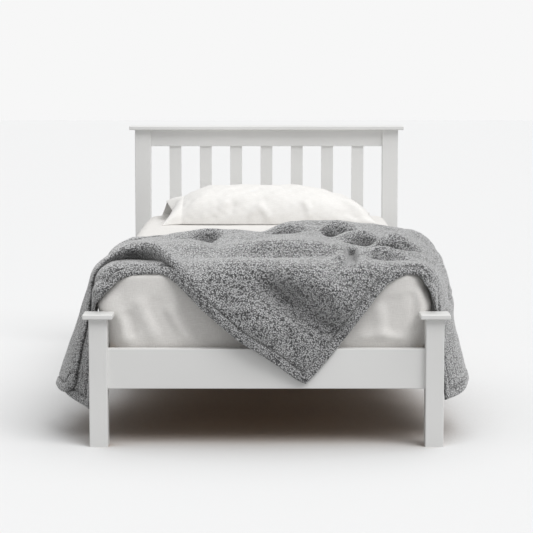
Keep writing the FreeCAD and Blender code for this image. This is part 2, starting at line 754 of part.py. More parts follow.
def base_slat(index, count):
    """A pine slat across the bed; the first and the last are screwed to the ledgers"""
    body = new_body(f"base_slat_{index + 1:02d}")
    place(body, y=f"{BASE_FIRST} + {index} * {BASE_PITCH}", z=LEDGER_TOP)
    section = sketch_on(body, "Section", "YZ_Plane", ("0", "Sizes.base_slat_thickness / 2", "0"))
    rectangle(section, "Sizes.base_slat_width", "Sizes.base_slat_thickness")
    slat = pad(
        body, "Slat", section, f"2 * ({SIDE_RAIL_INSIDE} - Sizes.base_slat_play)", both_ways=True
    )
    round_edges(body, "Arrises", slat, "Sizes.base_slat_arris", runs_along("x"))
    if index in (0, count - 1):
        for name, sign in (("Left", -1), ("Right", 1)):
            screw_hole(
                body, f"Screw{name}", "XY_Plane",
                (f"{sign} * {LEDGER_X}", "0", "Sizes.base_slat_thickness"),
                "Sizes.base_slat_thickness",
            )
    return body


def end_slat_screws():
    """The screws that hold the first and the last slat to the ledgers"""
    places = []
    for sign in SIDES.values():
        for step in (0, value("Sizes.base_slat_count") - 1):
            along = value(BASE_FIRST) + step * value(BASE_PITCH)
            places.append(Placement(Vector(sign * value(LEDGER_X), along, value(SLAT_TOP)), Rotation()))
    return group("end_slat_screws", countersunk_screw(value("Sizes.slat_screw_length")), places)


def slat_tape(side, sign):
    """A webbing tape that spaces the slats, along their underside"""
    tape = doc.addObject("Part::Box", f"slat_tape_{side}")
    tape.setExpression("Length", "Sizes.tape_width")
    tape.setExpression("Width", f"{BASE_RUN} + Sizes.base_slat_width")
    tape.setExpression("Height", "Sizes.tape_thickness")
    middle = f"{sign} * (Sizes.mattress_width / 2 - Sizes.tape_inset) - Sizes.tape_width / 2"
    place(tape, middle, f"{FOOT_BACK} + Sizes.base_end_margin", f"{LEDGER_TOP} - Sizes.tape_thickness")
    return keep(tape, f"slat_tape_{side}")


# Soft pieces, each a loft through closed outlines of lines and arcs
def rounded_outline(half_x, half_y, radius, middle, z):
    """A level rectangle with round corners, from its half sizes"""
    inner_x, inner_y = half_x - radius, half_y - radius
    turn = radius * math.sin(math.radians(45))
    edges = []
    signs = ((1, 1), (-1, 1), (-1, -1), (1, -1))
    for index, (sx, sy) in enumerate(signs):
        centre = Vector(middle.x + sx * inner_x, middle.y + sy * inner_y, z)
        along_x, along_y = Vector(sx * radius, 0, 0), Vector(0, sy * radius, 0)
        first, last = (along_x, along_y) if sx == sy else (along_y, along_x)
        corner = Vector(sx * turn, sy * turn, 0)
        edges.append(Part.Arc(centre + first, centre + corner, centre + last).toShape())
        nx, ny = signs[(index + 1) % len(signs)]
        following = Vector(middle.x + nx * inner_x, middle.y + ny * inner_y, z)
        reach = Vector(nx * radius, 0, 0) if nx == ny else Vector(0, ny * radius, 0)
        edges.append(Part.LineSegment(centre + last, following + reach).toShape())
    return Part.Wire(Part.__sortEdges__(edges))


MATTRESS_BOTTOM = f"({SLAT_TOP} + 2 * Sizes.soft_gap + Sizes.sheet_thickness)"
MATTRESS_TOP = f"({MATTRESS_BOTTOM} + Sizes.mattress_depth)"
SHEET_TOP = f"({MATTRESS_TOP} + Sizes.soft_gap + Sizes.sheet_thickness)"
MATTRESS_FOOT = f"({FOOT_BACK} + Sizes.mattress_foot_gap)"

# How high each outline of the mattress lies between its foot and head edges, and how far it bulges
BULGE_HEIGHT_SHARES = (0.0, 0.2, 0.5, 0.8, 1.0)
BULGE_SHARES = (0.0, 0.55, 1.0, 0.7, 0.3)
LOW_EDGE_SHARE = 0.25


def mattress_solid(grow):
    """The mattress with soft bulging sides and round edges, grown by a length all round"""
    half_x = value("Sizes.mattress_width") / 2
    half_y = value("Sizes.mattress_length") / 2
    bulge = value("Sizes.mattress_bulge")
    edge = value("Sizes.mattress_edge_radius")
    corner = value("Sizes.mattress_corner_radius")
    bottom, top = value(MATTRESS_BOTTOM), value(MATTRESS_TOP)
    middle = Vector(0, value(MATTRESS_FOOT) + half_y, 0)
    levels = []
    low_edge = edge * LOW_EDGE_SHARE
    lower, upper = bottom + low_edge, top - edge
    for angle in (0, 45):
        lean = math.radians(angle)
        levels.append((bottom + low_edge * (1 - math.cos(lean)), low_edge * (math.sin(lean) - 1)))
    for height_share, bulge_share in zip(BULGE_HEIGHT_SHARES, BULGE_SHARES):
        levels.append((lower + (upper - lower) * height_share, bulge * bulge_share))
    crest = bulge * BULGE_SHARES[-1]
    for angle in (30, 60, 90):
        lean = math.radians(angle)
        levels.append((upper + edge * math.sin(lean), crest + edge * (math.cos(lean) - 1)))
    outlines = []
    for index, (z, outward) in enumerate(levels):
        z += grow if index == len(levels) - 1 else -grow if index == 0 else 0
        reach = outward + grow
        outlines.append(
            rounded_outline(half_x + reach, half_y + min(outward, 0) + grow, corner + reach, middle, z)
        )
    return Part.makeLoft(outlines, True, True)


def mattress():
    piece = doc.addObject("Part::Feature", "mattress")
    piece.Shape = mattress_solid(0)
    return keep(piece, "mattress")


def fitted_sheet():
    """A skin over the mattress, tucked under its edges and open below"""
    gap = value("Sizes.soft_gap")
    thickness = value("Sizes.sheet_thickness")
    tuck = value("Sizes.sheet_tuck")
    over = value("Sizes.overrun")
    outer = mattress_solid(gap + thickness)
    inner = mattress_solid(gap)
    half_x = value("Sizes.mattress_width") / 2 - tuck
    half_y = value("Sizes.mattress_length") / 2 - tuck
    middle = Vector(0, value(MATTRESS_FOOT) + value("Sizes.mattress_length") / 2, 0)
    low = value(MATTRESS_BOTTOM) - gap - thickness - over
    mouth = rounded_outline(half_x, half_y, value("Sizes.mattress_corner_radius"), middle, low)
    opening = Part.Face(mouth).extrude(Vector(0, 0, thickness + gap + 2 * over))
    piece = doc.addObject("Part::Feature", "fitted_sheet")
    piece.Shape = outer.cut(inner).cut(opening)
    return keep(piece, "fitted_sheet")


PILLOW_MIDDLE = (
    f"({HEAD_FACE} - Sizes.pillow_head_gap - Sizes.pillow_width / 2)"
)

# Places along the pillow from its open to its closed end, and its height and depth there
PILLOW_RUN_SHARES = (0.0, 0.06, 0.14, 0.3, 0.52, 0.68, 0.78, 0.86, 0.93, 0.98, 1.0)
PILLOW_HIGH_SHARES = (0.64, 0.85, 0.95, 0.99, 1.0, 0.95, 0.84, 0.66, 0.42, 0.2, 0.11)
PILLOW_DEEP_SHARES = (0.9, 0.92, 0.93, 0.94, 0.94, 0.93, 0.94, 0.95, 0.97, 0.99, 1.0)

# The pillow cut across, from its front foot to its front shoulder: share of half depth and of height
PILLOW_FOOT = (0.8, 0.0)
PILLOW_LOW_SIDE = (0.93, 0.12)
PILLOW_SEAM = (1.0, 0.27)
PILLOW_HIGH_SIDE = (0.93, 0.6)
PILLOW_SHOULDER = (0.74, 0.82)

# The pillowcase's flange from its open end to the pillow: place along it, half depth, height and fullness
FLANGE_SHARES = (
    (0.0, 0.9, 0.0, 0.4),
    (0.35, 0.88, 0.08, 0.6),
    (1.0, 0.8, 0.2, 1.6),
)


def pillow_solid(grow):
    """The pillow with its crown and its ends that run out flat, grown by a length all round"""
    height = value("Sizes.pillow_height")
    length = value("Sizes.pillow_length")
    base = value(SHEET_TOP) + 2 * value("Sizes.soft_gap") + value("Sizes.pillowcase_thickness")
    start = value("Sizes.pillow_offset") - length / 2
    middle = value(PILLOW_MIDDLE)
    sections = []
    rows = zip(PILLOW_RUN_SHARES, PILLOW_HIGH_SHARES, PILLOW_DEEP_SHARES)
    for run_share, high_share, deep_share in rows:
        x = start - grow + (length + 2 * grow) * run_share
        deep = value("Sizes.pillow_width") / 2 * deep_share + grow
        high = height * high_share + 2 * grow

        def spot(sign, shares):
            return Vector(x, middle + sign * deep * shares[0], base - grow + high * shares[1])

        crown = Vector(x, middle, base - grow + high)
        edges = [
            Part.Arc(spot(-1, PILLOW_FOOT), spot(-1, PILLOW_LOW_SIDE), spot(-1, PILLOW_SEAM)),
            Part.Arc(spot(-1, PILLOW_SEAM), spot(-1, PILLOW_HIGH_SIDE), spot(-1, PILLOW_SHOULDER)),
            Part.Arc(spot(-1, PILLOW_SHOULDER), crown, spot(1, PILLOW_SHOULDER)),
            Part.Arc(spot(1, PILLOW_SHOULDER), spot(1, PILLOW_HIGH_SIDE), spot(1, PILLOW_SEAM)),
            Part.Arc(spot(1, PILLOW_SEAM), spot(1, PILLOW_LOW_SIDE), spot(1, PILLOW_FOOT)),
            Part.LineSegment(spot(1, PILLOW_FOOT), spot(-1, PILLOW_FOOT)),
        ]
        sections.append(Part.Wire([edge.toShape() for edge in edges]))
    return Part.makeLoft(sections, True)


def pillow():
    piece = doc.addObject("Part::Feature", "pillow")
    piece.Shape = pillow_solid(0)
    return keep(piece, "pillow")


def pillowcase():
    """A skin round the pillow with a flat flange at its open left end"""
    gap = value("Sizes.soft_gap")
    thickness = value("Sizes.pillowcase_thickness")
    flange = value("Sizes.pillowcase_flange")
    tall = value("Sizes.pillowcase_flange_height")
    outer = pillow_solid(gap + thickness)
    inner = pillow_solid(gap)
    height = value("Sizes.pillow_height")
    seam = value("Sizes.pillow_offset") - value("Sizes.pillow_length") / 2
    rest = value(SHEET_TOP) + gap
    mouth = []
    for x_share, deep_share, low_share, high_share in FLANGE_SHARES:
        x = seam - flange + (flange + height / 2) * x_share
        deep = value("Sizes.pillow_width") / 2 * deep_share
        corners = [
            Vector(x, value(PILLOW_MIDDLE) - deep, rest + height * low_share),
            Vector(x, value(PILLOW_MIDDLE) + deep, rest + height * low_share),
            Vector(x, value(PILLOW_MIDDLE) + deep, rest + height * low_share + tall * high_share),
            Vector(x, value(PILLOW_MIDDLE) - deep, rest + height * low_share + tall * high_share),
        ]
        mouth.append(Part.makePolygon(corners + corners[:1]))
    tongue = Part.makeLoft(mouth, True, True)
    piece = doc.addObject("Part::Feature", "pillowcase")
    piece.Shape = outer.fuse(tongue).cut(inner)
    return keep(piece, "pillowcase")


# The throw lies over the foot half of the bed, hangs down both sides, and one corner hangs at the foot
THROW_TOP = f"({SHEET_TOP} + Sizes.soft_gap + Sizes.throw_thickness)"
THROW_FRONT = f"({MATTRESS_FOOT} + Sizes.throw_front_gap)"
THROW_EDGE = "(Sizes.mattress_width / 2 - Sizes.throw_edge_inset)"
THROW_HANG = f"({SIDE_RAIL_X} + Sizes.side_rail_thickness / 2 + Sizes.throw_rail_gap + Sizes.throw_thickness)"

# Places along the throw, each with its hang's flare left and right and its shoulders' reach past the rails
THROW_RUN_SHARES = (
    0.0, 0.048, 0.092, 0.132, 0.19, 0.262, 0.342, 0.422, 0.503, 0.583, 0.663, 0.744, 0.833, 0.914, 1.0,
)
LEFT_FLARE_SHARES = (0.17, 0.62, 0.85, 1.0, 1.0, 0.6, 0.86, 0.7, 0.55, 0.8, 0.6, 0.5, 0.7, 0.4, 0.55)
RIGHT_FLARE_SHARES = (0.15, 0.8, 1.0, 1.0, 0.7, 0.9, 0.8, 0.55, 0.82, 0.55, 0.78, 0.5, 0.62, 0.5, 0.4)
REACH_SHARES = (0.0, 0.0, 0.4, 0.67, 0.83, 1.0, 1.0, 1.0, 1.0, 1.0, 1.0, 1.0, 1.0, 1.0, 1.0)

# Places across the top, and for each place along the throw the height of its bunched folds there
SWELL_ACROSS_SHARES = (0.0, 0.08, 0.16, 0.235, 0.305, 0.37, 0.45, 0.545, 0.64, 0.735, 0.83, 0.91, 1.0)
SWELL_SHARES = (
    (0.0, 0.0, 0.0, 0.0, 0.0, 0.0, 0.0, 0.0, 0.0, 0.0, 0.0, 0.0, 0.0),
    (0.3, 0.42, 0.26, 0.08, 0.05, 0.04, 0.05, 0.04, 0.05, 0.04, 0.06, 0.1, 0.08),
    (0.5, 0.72, 0.6, 0.22, 0.14, 0.12, 0.12, 0.12, 0.1, 0.12, 0.42, 0.48, 0.26),
    (0.45, 0.76, 0.8, 0.8, 0.84, 0.88, 0.88, 0.88, 0.8, 0.52, 0.34, 0.28, 0.18),
    (0.36, 0.68, 0.76, 0.84, 0.84, 0.8, 0.8, 0.84, 0.84, 0.6, 0.28, 0.24, 0.14),
    (0.3, 0.58, 0.62, 0.58, 0.52, 0.52, 0.56, 0.68, 0.8, 0.64, 0.52, 0.5, 0.28),
    (0.22, 0.46, 0.38, 0.24, 0.24, 0.32, 0.4, 0.52, 0.72, 0.62, 0.38, 0.36, 0.26),
    (0.16, 0.34, 0.2, 0.1, 0.16, 0.32, 0.3, 0.4, 0.62, 0.64, 0.7, 0.66, 0.38),
    (0.1, 0.24, 0.14, 0.1, 0.24, 0.42, 0.34, 0.4, 0.66, 0.5, 0.52, 0.54, 0.4),
    (0.06, 0.28, 0.42, 0.44, 0.48, 0.56, 0.46, 0.54, 0.78, 0.58, 0.58, 0.6, 0.42),
    (0.05, 0.34, 0.56, 0.56, 0.6, 0.58, 0.5, 0.66, 0.88, 1.0, 1.0, 0.9, 0.46),
    (0.04, 0.18, 0.28, 0.32, 0.36, 0.38, 0.36, 0.64, 0.86, 0.94, 0.96, 0.8, 0.4),
    (0.04, 0.06, 0.08, 0.1, 0.12, 0.14, 0.12, 0.32, 0.66, 0.78, 0.76, 0.6, 0.24),
    (0.02, 0.03, 0.05, 0.05, 0.05, 0.05, 0.05, 0.12, 0.24, 0.32, 0.32, 0.24, 0.08),
    (0.0, 0.0, 0.0, 0.0, 0.0, 0.0, 0.0, 0.0, 0.0, 0.0, 0.0, 0.0, 0.0),
)

# Plan of the throw's back edge: place across as a share of its flat half, and along as a share of its length
BACK_EDGE_SHARES = (
    (-1.5, 0.556),
    (-1.07, 0.628),
    (-0.9, 0.744),
    (-0.8, 0.797),
    (-0.45, 0.825),
    (0.0, 0.83),
    (0.26, 0.94),
    (0.5, 0.96),
    (0.98, 0.94),
    (1.5, 0.85),
)

# How much of the folds' height at the mattress edge is left halfway round the shoulder
SHOULDER_SWELL_SHARE = 0.5

# Three points whose triangle has less than half this area, in square millimetres, are joined by a line
STRAIGHT_AREA = 8

# Sine of half a right angle
HALF_CORNER = math.sin(math.pi / 4)


def curve_edge(first, middle, last):
    """An arc through three points, or a line where they lie on one"""
    if (middle - first).cross(last - first).Length < STRAIGHT_AREA:
        return Part.LineSegment(first, last).toShape()
    return Part.Arc(first, middle, last).toShape()


def throw_section(y, swell_row, left_flare, right_flare, reach):
    """The throw cut across the bed: up the left side, over its bunched top and down the right side"""
    thickness = value("Sizes.throw_thickness")
    swell = value("Sizes.throw_swell")
    edge_x = value(THROW_EDGE)
    bend = value(THROW_HANG) + reach - edge_x
    top = value(THROW_TOP)
    left_end = top - value("Sizes.throw_left_drop")
    right_end = top - value("Sizes.throw_right_drop")

    def bend_points(sign, inset, swell_share):
        """The start, middle and end of the bend over one edge of the mattress"""
        radius = bend - inset
        raised = swell * swell_share
        centre = Vector(sign * edge_x, y, top - bend)
        start = centre + Vector(sign * radius, 0, 0)
        halfway_reach = radius * HALF_CORNER + raised * SHOULDER_SWELL_SHARE
        halfway = centre + Vector(sign * halfway_reach, 0, halfway_reach)
        return start, halfway, centre + Vector(0, 0, radius + raised)

    def hem(sign, end, flare, inset):
        return Vector(sign * (edge_x + bend + flare - inset), y, end)

    left_outer = bend_points(-1, 0, swell_row[0])
    right_outer = bend_points(1, 0, swell_row[-1])
    left_inner, right_inner = bend_points(-1, thickness, 0), bend_points(1, thickness, 0)
    left_hem, right_hem = hem(-1, left_end, left_flare, 0), hem(1, right_end, right_flare, 0)
    left_back = hem(-1, left_end, left_flare, thickness)
    right_back = hem(1, right_end, right_flare, thickness)
    crests = [
        Vector(edge_x * (2 * across_share - 1), y, top + swell * swell_share)
        for across_share, swell_share in zip(SWELL_ACROSS_SHARES, swell_row)
    ]
    edges = [Part.LineSegment(left_hem, left_outer[0]).toShape(), Part.Arc(*left_outer).toShape()]
    for index in range(0, len(crests) - 1, 2):
        edges.append(curve_edge(*crests[index:index + 3]))
    edges += [
        Part.Arc(*reversed(right_outer)).toShape(),
        Part.LineSegment(right_outer[0], right_hem).toShape(),
        Part.LineSegment(right_hem, right_back).toShape(),
        Part.LineSegment(right_back, right_inner[0]).toShape(),
        Part.Arc(*right_inner).toShape(),
        Part.LineSegment(right_inner[2], left_inner[2]).toShape(),
        Part.Arc(*reversed(left_inner)).toShape(),
        Part.LineSegment(left_inner[0], left_back).toShape(),
        Part.LineSegment(left_back, left_hem).toShape(),
    ]
    return Part.Wire(edges)


def throw_saddle():
    """The part of the throw that lies bunched on the bed and hangs down its sides"""
    front = value(THROW_FRONT)
    length = value("Sizes.throw_length")
    over = value("Sizes.overrun")
    edge_x = value(THROW_EDGE)
    sections = []
    rows = zip(THROW_RUN_SHARES, SWELL_SHARES, LEFT_FLARE_SHARES, RIGHT_FLARE_SHARES, REACH_SHARES)
    for run_share, swell_row, left_share, right_share, reach_share in rows:
        sections.append(
            throw_section(
                front + length * run_share,
                swell_row,
                value("Sizes.throw_left_flare") * left_share,
                value("Sizes.throw_right_flare") * right_share,
                value("Sizes.throw_reach") * reach_share,
            )
        )
    saddle = Part.makeLoft(sections, True, True)
    box = saddle.BoundBox
    low = box.ZMin - over
    plan = [
        Vector(edge_x * across_share, front + length * along_share, low)
        for across_share, along_share in BACK_EDGE_SHARES
    ]
    plan += [Vector(plan[-1].x, front - over, low), Vector(plan[0].x, front - over, low)]
    outline = Part.Face(Part.makePolygon(plan + plan[:1]))
    return saddle.common(outline.extrude(Vector(0, 0, box.ZLength + 2 * over)))


# Places across the flap from left to right, and how far each is pushed out by its folds
FLAP_RUN_SHARES = (0.0, 0.2, 0.38, 0.56, 0.7, 0.84, 1.0)
FLAP_FOLD_SHARES = (0.1, 0.4, 1.0, 0.7, 0.2, 0.6, 0.1)


def flap_section(x, push):
    """The flap cut along the bed: forward over the mattress edge, then down before the foot rail"""
    thickness = value("Sizes.throw_thickness")
    gap = value("Sizes.soft_gap")
    top = value(THROW_TOP)
    front = value(THROW_FRONT)
    bend = value("Sizes.throw_front_radius")
    face = value(MATTRESS_FOOT) - 2 * gap - value("Sizes.sheet_thickness") - thickness
    rail_face = value(f"{FOOT_FACE} + Sizes.rail_recess") - gap - thickness - push
    slope_end = value(RAIL_TOP) + thickness
    low = value("Sizes.throw_tip_height - Sizes.overrun")
    centre = Vector(x, face + bend, top - bend)
    small = bend - thickness
    points = [
        Vector(x, front, top),
        Vector(x, centre.y, top),
        Vector(x, face, centre.z),
        Vector(x, rail_face, slope_end),
        Vector(x, rail_face, low),
        Vector(x, rail_face + thickness, low),
        Vector(x, rail_face + thickness, slope_end + gap),
        Vector(x, face + thickness, centre.z),
        Vector(x, centre.y, top - thickness),
        Vector(x, front, top - thickness),
    ]
    outer_middle = centre + Vector(0, -bend * HALF_CORNER, bend * HALF_CORNER)
    inner_middle = centre + Vector(0, -small * HALF_CORNER, small * HALF_CORNER)
    edges = []
    for index, point in enumerate(points):
        following = points[(index + 1) % len(points)]
        if index == 1:
            edges.append(Part.Arc(point, outer_middle, following))
        elif index == 7:
            edges.append(Part.Arc(point, inner_middle, following))
        else:
            edges.append(Part.LineSegment(point, following))
    return Part.Wire([edge.toShape() for edge in edges])


def throw_flap():
    """The corner of the throw that hangs over the foot end and in front of the foot rail"""
    thickness = value("Sizes.throw_thickness")
    over = value("Sizes.overrun")
    top = value(THROW_TOP)
    fold = value("Sizes.throw_flap_fold")
    edge_x = value(THROW_EDGE)
    sections = []
    for run_share, fold_share in zip(FLAP_RUN_SHARES, FLAP_FOLD_SHARES):
        sections.append(flap_section(edge_x * (2 * run_share - 1), fold * fold_share))
    strip = Part.makeLoft(sections, True, True)
    box = strip.BoundBox
    near = box.YMin - over
    hem_height = top - value("Sizes.throw_hem_drop")
    hem = [
        Vector(-edge_x, near, top + over),
        Vector(-edge_x, near, hem_height),
        Vector(value("Sizes.throw_hem_left") - edge_x, near, hem_height),
        Vector(value("Sizes.throw_tip_offset"), near, value("Sizes.throw_tip_height")),
        Vector(edge_x - value("Sizes.throw_hem_right"), near, hem_height),
        Vector(edge_x, near, hem_height),
        Vector(edge_x, near, top + over),
    ]
    outline = Part.Face(Part.makePolygon(hem + hem[:1]))
    return strip.common(outline.extrude(Vector(0, box.YLength + 2 * over, 0)))


def throw_blanket():
    piece = doc.addObject("Part::Feature", "throw_blanket")
    piece.Shape = throw_saddle().fuse(throw_flap())
    return keep(piece, "throw_blanket")


# Build every piece
for side, sign in SIDES.items():
    head_post(side, sign)
    foot_post(side, sign)
    foot_cap(side, sign)
    side_rail_pilots(side_rail(side, sign), sign)
    slat_ledger(side, sign)
    slat_tape(side, sign)
headboard_cap()
headboard_rail("headboard_top_rail", "Sizes.top_rail_height", TOP_RAIL_UNDERSIDE, -1)
headboard_rail("headboard_bottom_rail", "Sizes.bottom_rail_height", "Sizes.bottom_rail_underside", 1)
for index in range(int(value("Sizes.head_slat_count"))):
    headboard_slat(index)
foot_rail()
for index in range(int(value("Sizes.base_slat_count"))):
    base_slat(index, int(value("Sizes.base_slat_count")))
rail_studs()
half_moon_washers()
stud_nuts()
rail_dowels()
cap_dowels()
ledger_screws()
end_slat_screws()
mattress()
fitted_sheet()
pillow()
pillowcase()
throw_blanket()
doc.recompute()

# Check the document before anything is written
for item in doc.Objects:
    if "Invalid" in item.State or "Error" in item.State:
        raise RuntimeError(f"{item.Label} failed: {item.State}")
    if item.TypeId == "PartDesign::Pocket" and item.Shape.Volume >= item.BaseFeature.Shape.Volume:
        raise RuntimeError(f"{item.Label} of {item.getParentGeoFeatureGroup().Label} cuts nothing")
for piece in kept:
    if piece.Shape.isNull() or not piece.Shape.isValid():
        raise RuntimeError(f"{piece.Label} has no valid shape")

os.makedirs("parts", exist_ok=True)
for piece in kept:
    piece.Shape.exportStep(f"parts/{piece.Label}.step")
    box = piece.Shape.BoundBox
    print(
        f"{piece.Label}: {len(piece.Shape.Solids)} solids,"
        f" x {box.XMin:.1f} to {box.XMax:.1f}, y {box.YMin:.1f} to {box.YMax:.1f},"
        f" z {box.ZMin:.1f} to {box.ZMax:.1f}"
    )
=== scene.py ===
import math

import bpy
import numpy as np
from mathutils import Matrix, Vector
from mathutils.kdtree import KDTree


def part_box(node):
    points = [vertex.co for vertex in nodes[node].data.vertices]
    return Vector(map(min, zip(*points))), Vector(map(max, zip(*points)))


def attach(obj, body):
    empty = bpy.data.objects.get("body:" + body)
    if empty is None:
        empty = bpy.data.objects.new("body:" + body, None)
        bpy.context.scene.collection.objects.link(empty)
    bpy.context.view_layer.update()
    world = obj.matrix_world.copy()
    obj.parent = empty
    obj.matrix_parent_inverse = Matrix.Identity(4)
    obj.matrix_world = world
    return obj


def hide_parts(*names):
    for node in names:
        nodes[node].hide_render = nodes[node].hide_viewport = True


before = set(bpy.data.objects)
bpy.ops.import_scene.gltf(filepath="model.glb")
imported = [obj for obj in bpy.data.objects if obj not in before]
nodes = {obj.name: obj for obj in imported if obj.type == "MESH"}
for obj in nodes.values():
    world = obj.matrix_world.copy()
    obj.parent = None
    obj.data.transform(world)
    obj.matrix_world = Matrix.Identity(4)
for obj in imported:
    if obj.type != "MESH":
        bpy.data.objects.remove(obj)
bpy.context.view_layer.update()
scene = bpy.context.scene
scene.view_settings.view_transform = "Standard"

# Camera at the photograph's place, found from the posts' widths and the floor line
CAMERA_PLACE = (0.0, -6.368, 1.08)
CAMERA_PITCH = 6.04
CAMERA_LENS = 130.1
camera_data = bpy.data.cameras.new("camera")
camera_data.sensor_width = 36.0
camera_data.lens = CAMERA_LENS
camera_data.clip_end = 60.0
camera = bpy.data.objects.new("camera", camera_data)
camera.location = CAMERA_PLACE
camera.rotation_euler = (math.radians(90.0 - CAMERA_PITCH), 0.0, 0.0)
scene.collection.objects.link(camera)
scene.camera = camera


# Node helpers for the materials
class Shader:
    """A material's node tree with short calls to add nodes and join them"""

    def __init__(self, name):
        self.material = bpy.data.materials.new(name)
        self.material.use_nodes = True
        self.tree = self.material.node_tree
        self.surface = self.tree.nodes["Principled BSDF"]

    def add(self, kind, inputs=(), **settings):
        """A new node with its settings, and its inputs filled from pairs of a socket's name and an entry"""
        node = self.tree.nodes.new(kind)
        for key, setting in settings.items():
            setattr(node, key, setting)
        for key, entry in dict(inputs).items():
            self.fill(node.inputs[key], entry)
        return node

    def join(self, source, target):
        self.tree.links.new(source, target)

    def fill(self, socket, entry):
        """Sets a socket to a number or a colour, or joins it to another socket"""
        if isinstance(entry, bpy.types.NodeSocket):
            self.join(entry, socket)
        elif isinstance(entry, tuple) and len(entry) == 3 and socket.type == "RGBA":
            socket.default_value = (*entry, 1.0)
        else:
            socket.default_value = entry

    def place(self, stretch=(1.0, 1.0, 1.0), turn=(0.0, 0.0, 0.0)):
        """The object's own coordinates, stretched and turned"""
        own = self.add("ShaderNodeTexCoord").outputs["Object"]
        mapping = self.add("ShaderNodeMapping", {"Vector": own, "Scale": stretch, "Rotation": turn})
        return mapping.outputs["Vector"]

    def noise(self, vector, scale, detail=2.0, roughness=0.5, distortion=0.0):
        node = self.add("ShaderNodeTexNoise", {
            "Vector": vector, "Scale": scale, "Detail": detail, "Roughness": roughness,
            "Distortion": distortion,
        })
        return node.outputs["Fac"]

    def cells(self, vector, scale, randomness=1.0):
        """The outputs of a pattern of round cells: Distance from their middles, and a Color for each"""
        entries = {"Vector": vector, "Scale": scale, "Randomness": randomness}
        return self.add("ShaderNodeTexVoronoi", entries).outputs

    def wave(self, vector, scale, direction, distortion=0.0, detail=2.0, detail_scale=1.0):
        node = self.add("ShaderNodeTexWave", {
            "Vector": vector, "Scale": scale, "Distortion": distortion, "Detail": detail,
            "Detail Scale": detail_scale,
        }, bands_direction=direction)
        return node.outputs["Fac"]

    def cover(self, distance):
        """How open a place is: 1 in the open, less where something is near within a distance"""
        return self.add("ShaderNodeAmbientOcclusion", {"Distance": distance}, samples=8).outputs["AO"]

    def math(self, operation, first, second=0.0, third=0.0):
        entries = {0: first, 1: second, 2: third}
        return self.add("ShaderNodeMath", entries, operation=operation).outputs[0]

    def ramp(self, factor, low, high, start=0.0, end=1.0):
        """A colour that runs from low to high while the factor runs from start to end"""
        node = self.add("ShaderNodeValToRGB")
        stops = node.color_ramp.elements
        stops[0].position, stops[1].position = start, end
        stops[0].color, stops[1].color = (*low, 1.0), (*high, 1.0)
        self.fill(node.inputs["Fac"], factor)
        return node.outputs["Color"]

    def mix(self, factor, first, second, blend="MIX"):
        entries = {0: factor, 6: first, 7: second}
        return self.add("ShaderNodeMix", entries, data_type="RGBA", blend_type=blend).outputs[2]

    def bump(self, height, strength, distance, under=None):
        node = self.add("ShaderNodeBump", {"Strength": strength, "Distance": distance, "Height": height})
        if under is not None:
            self.join(under, node.inputs["Normal"])
        return node.outputs["Normal"]

    def finish(self, colour, roughness, normal=None, **numbers):
        """Joins the results to the surface; the numbers are set on its own sockets"""
        self.fill(self.surface.inputs["Base Color"], colour)
        self.fill(self.surface.inputs["Roughness"], roughness)
        if normal is not None:
            self.join(normal, self.surface.inputs["Normal"])
        for key, number in numbers.items():
            self.surface.inputs[key.replace("_", " ")].default_value = number
        return self.material


# Stretch of a pattern that runs along one axis
LENGTHWISE = {"x": (0.05, 1.0, 1.0), "y": (1.0, 0.05, 1.0), "z": (1.0, 1.0, 0.05)}


def white_paint(axis):
    """Satin white paint with faint brush marks along the wood"""
    s = Shader(f"white_paint_{axis}")
    along = s.place(LENGTHWISE[axis])
    even = s.place()
    brush = s.noise(along, 420.0, 3.0, 0.6)
    grain = s.noise(along, 60.0, 4.0, 0.55, 0.4)
    peel = s.noise(even, 700.0, 1.0)
    cloud = s.noise(even, 3.0, 2.0)
    tone = s.ramp(cloud, (0.80, 0.80, 0.79), (0.86, 0.86, 0.85), 0.3, 0.7)
    tone = s.mix(s.math("MULTIPLY", grain, 0.10), tone, (0.74, 0.74, 0.72))
    gloss = s.math("MULTIPLY_ADD", cloud, 0.10, 0.34)
    relief = s.bump(brush, 0.10, 0.0004)
    relief = s.bump(grain, 0.08, 0.001, relief)
    relief = s.bump(peel, 0.04, 0.0002, relief)
    return s.finish(tone, gloss, relief, Coat_Weight=0.12, Coat_Roughness=0.25)


def bare_wood(name, axis, early, late, rings):
    """Planed wood with growth rings, pores and a matt surface"""
    s = Shader(name)
    along = s.place(LENGTHWISE[axis])
    rough = s.noise(along, 9.0, 3.0, 0.6, 0.8)
    drift = {0: rough, 1: (0.03, 0.03, 0.03), 2: along}
    shifted = s.add("ShaderNodeVectorMath", drift, operation="MULTIPLY_ADD")
    ring = s.wave(shifted.outputs[0], rings, "DIAGONAL", 3.0, 3.0, 1.2)
    fibre = s.noise(along, 520.0, 3.0, 0.65)
    tone = s.ramp(ring, early, late, 0.25, 0.95)
    tone = s.mix(s.math("MULTIPLY", fibre, 0.35), tone, tuple(c * 0.72 for c in late))
    relief = s.bump(fibre, 0.25, 0.0004)
    return s.finish(tone, s.math("MULTIPLY_ADD", fibre, 0.15, 0.5), relief)


def zinc_steel():
    """Zinc plated steel with a fine crystalline haze"""
    s = Shader("zinc_steel")
    place = s.place()
    haze = s.cells(place, 900.0)["Distance"]
    fine = s.noise(place, 1500.0, 2.0)
    tone = s.ramp(haze, (0.55, 0.57, 0.60), (0.74, 0.75, 0.77))
    relief = s.bump(fine, 0.08, 0.0002)
    return s.finish(tone, s.math("MULTIPLY_ADD", haze, 0.15, 0.25), relief, Metallic=1.0)


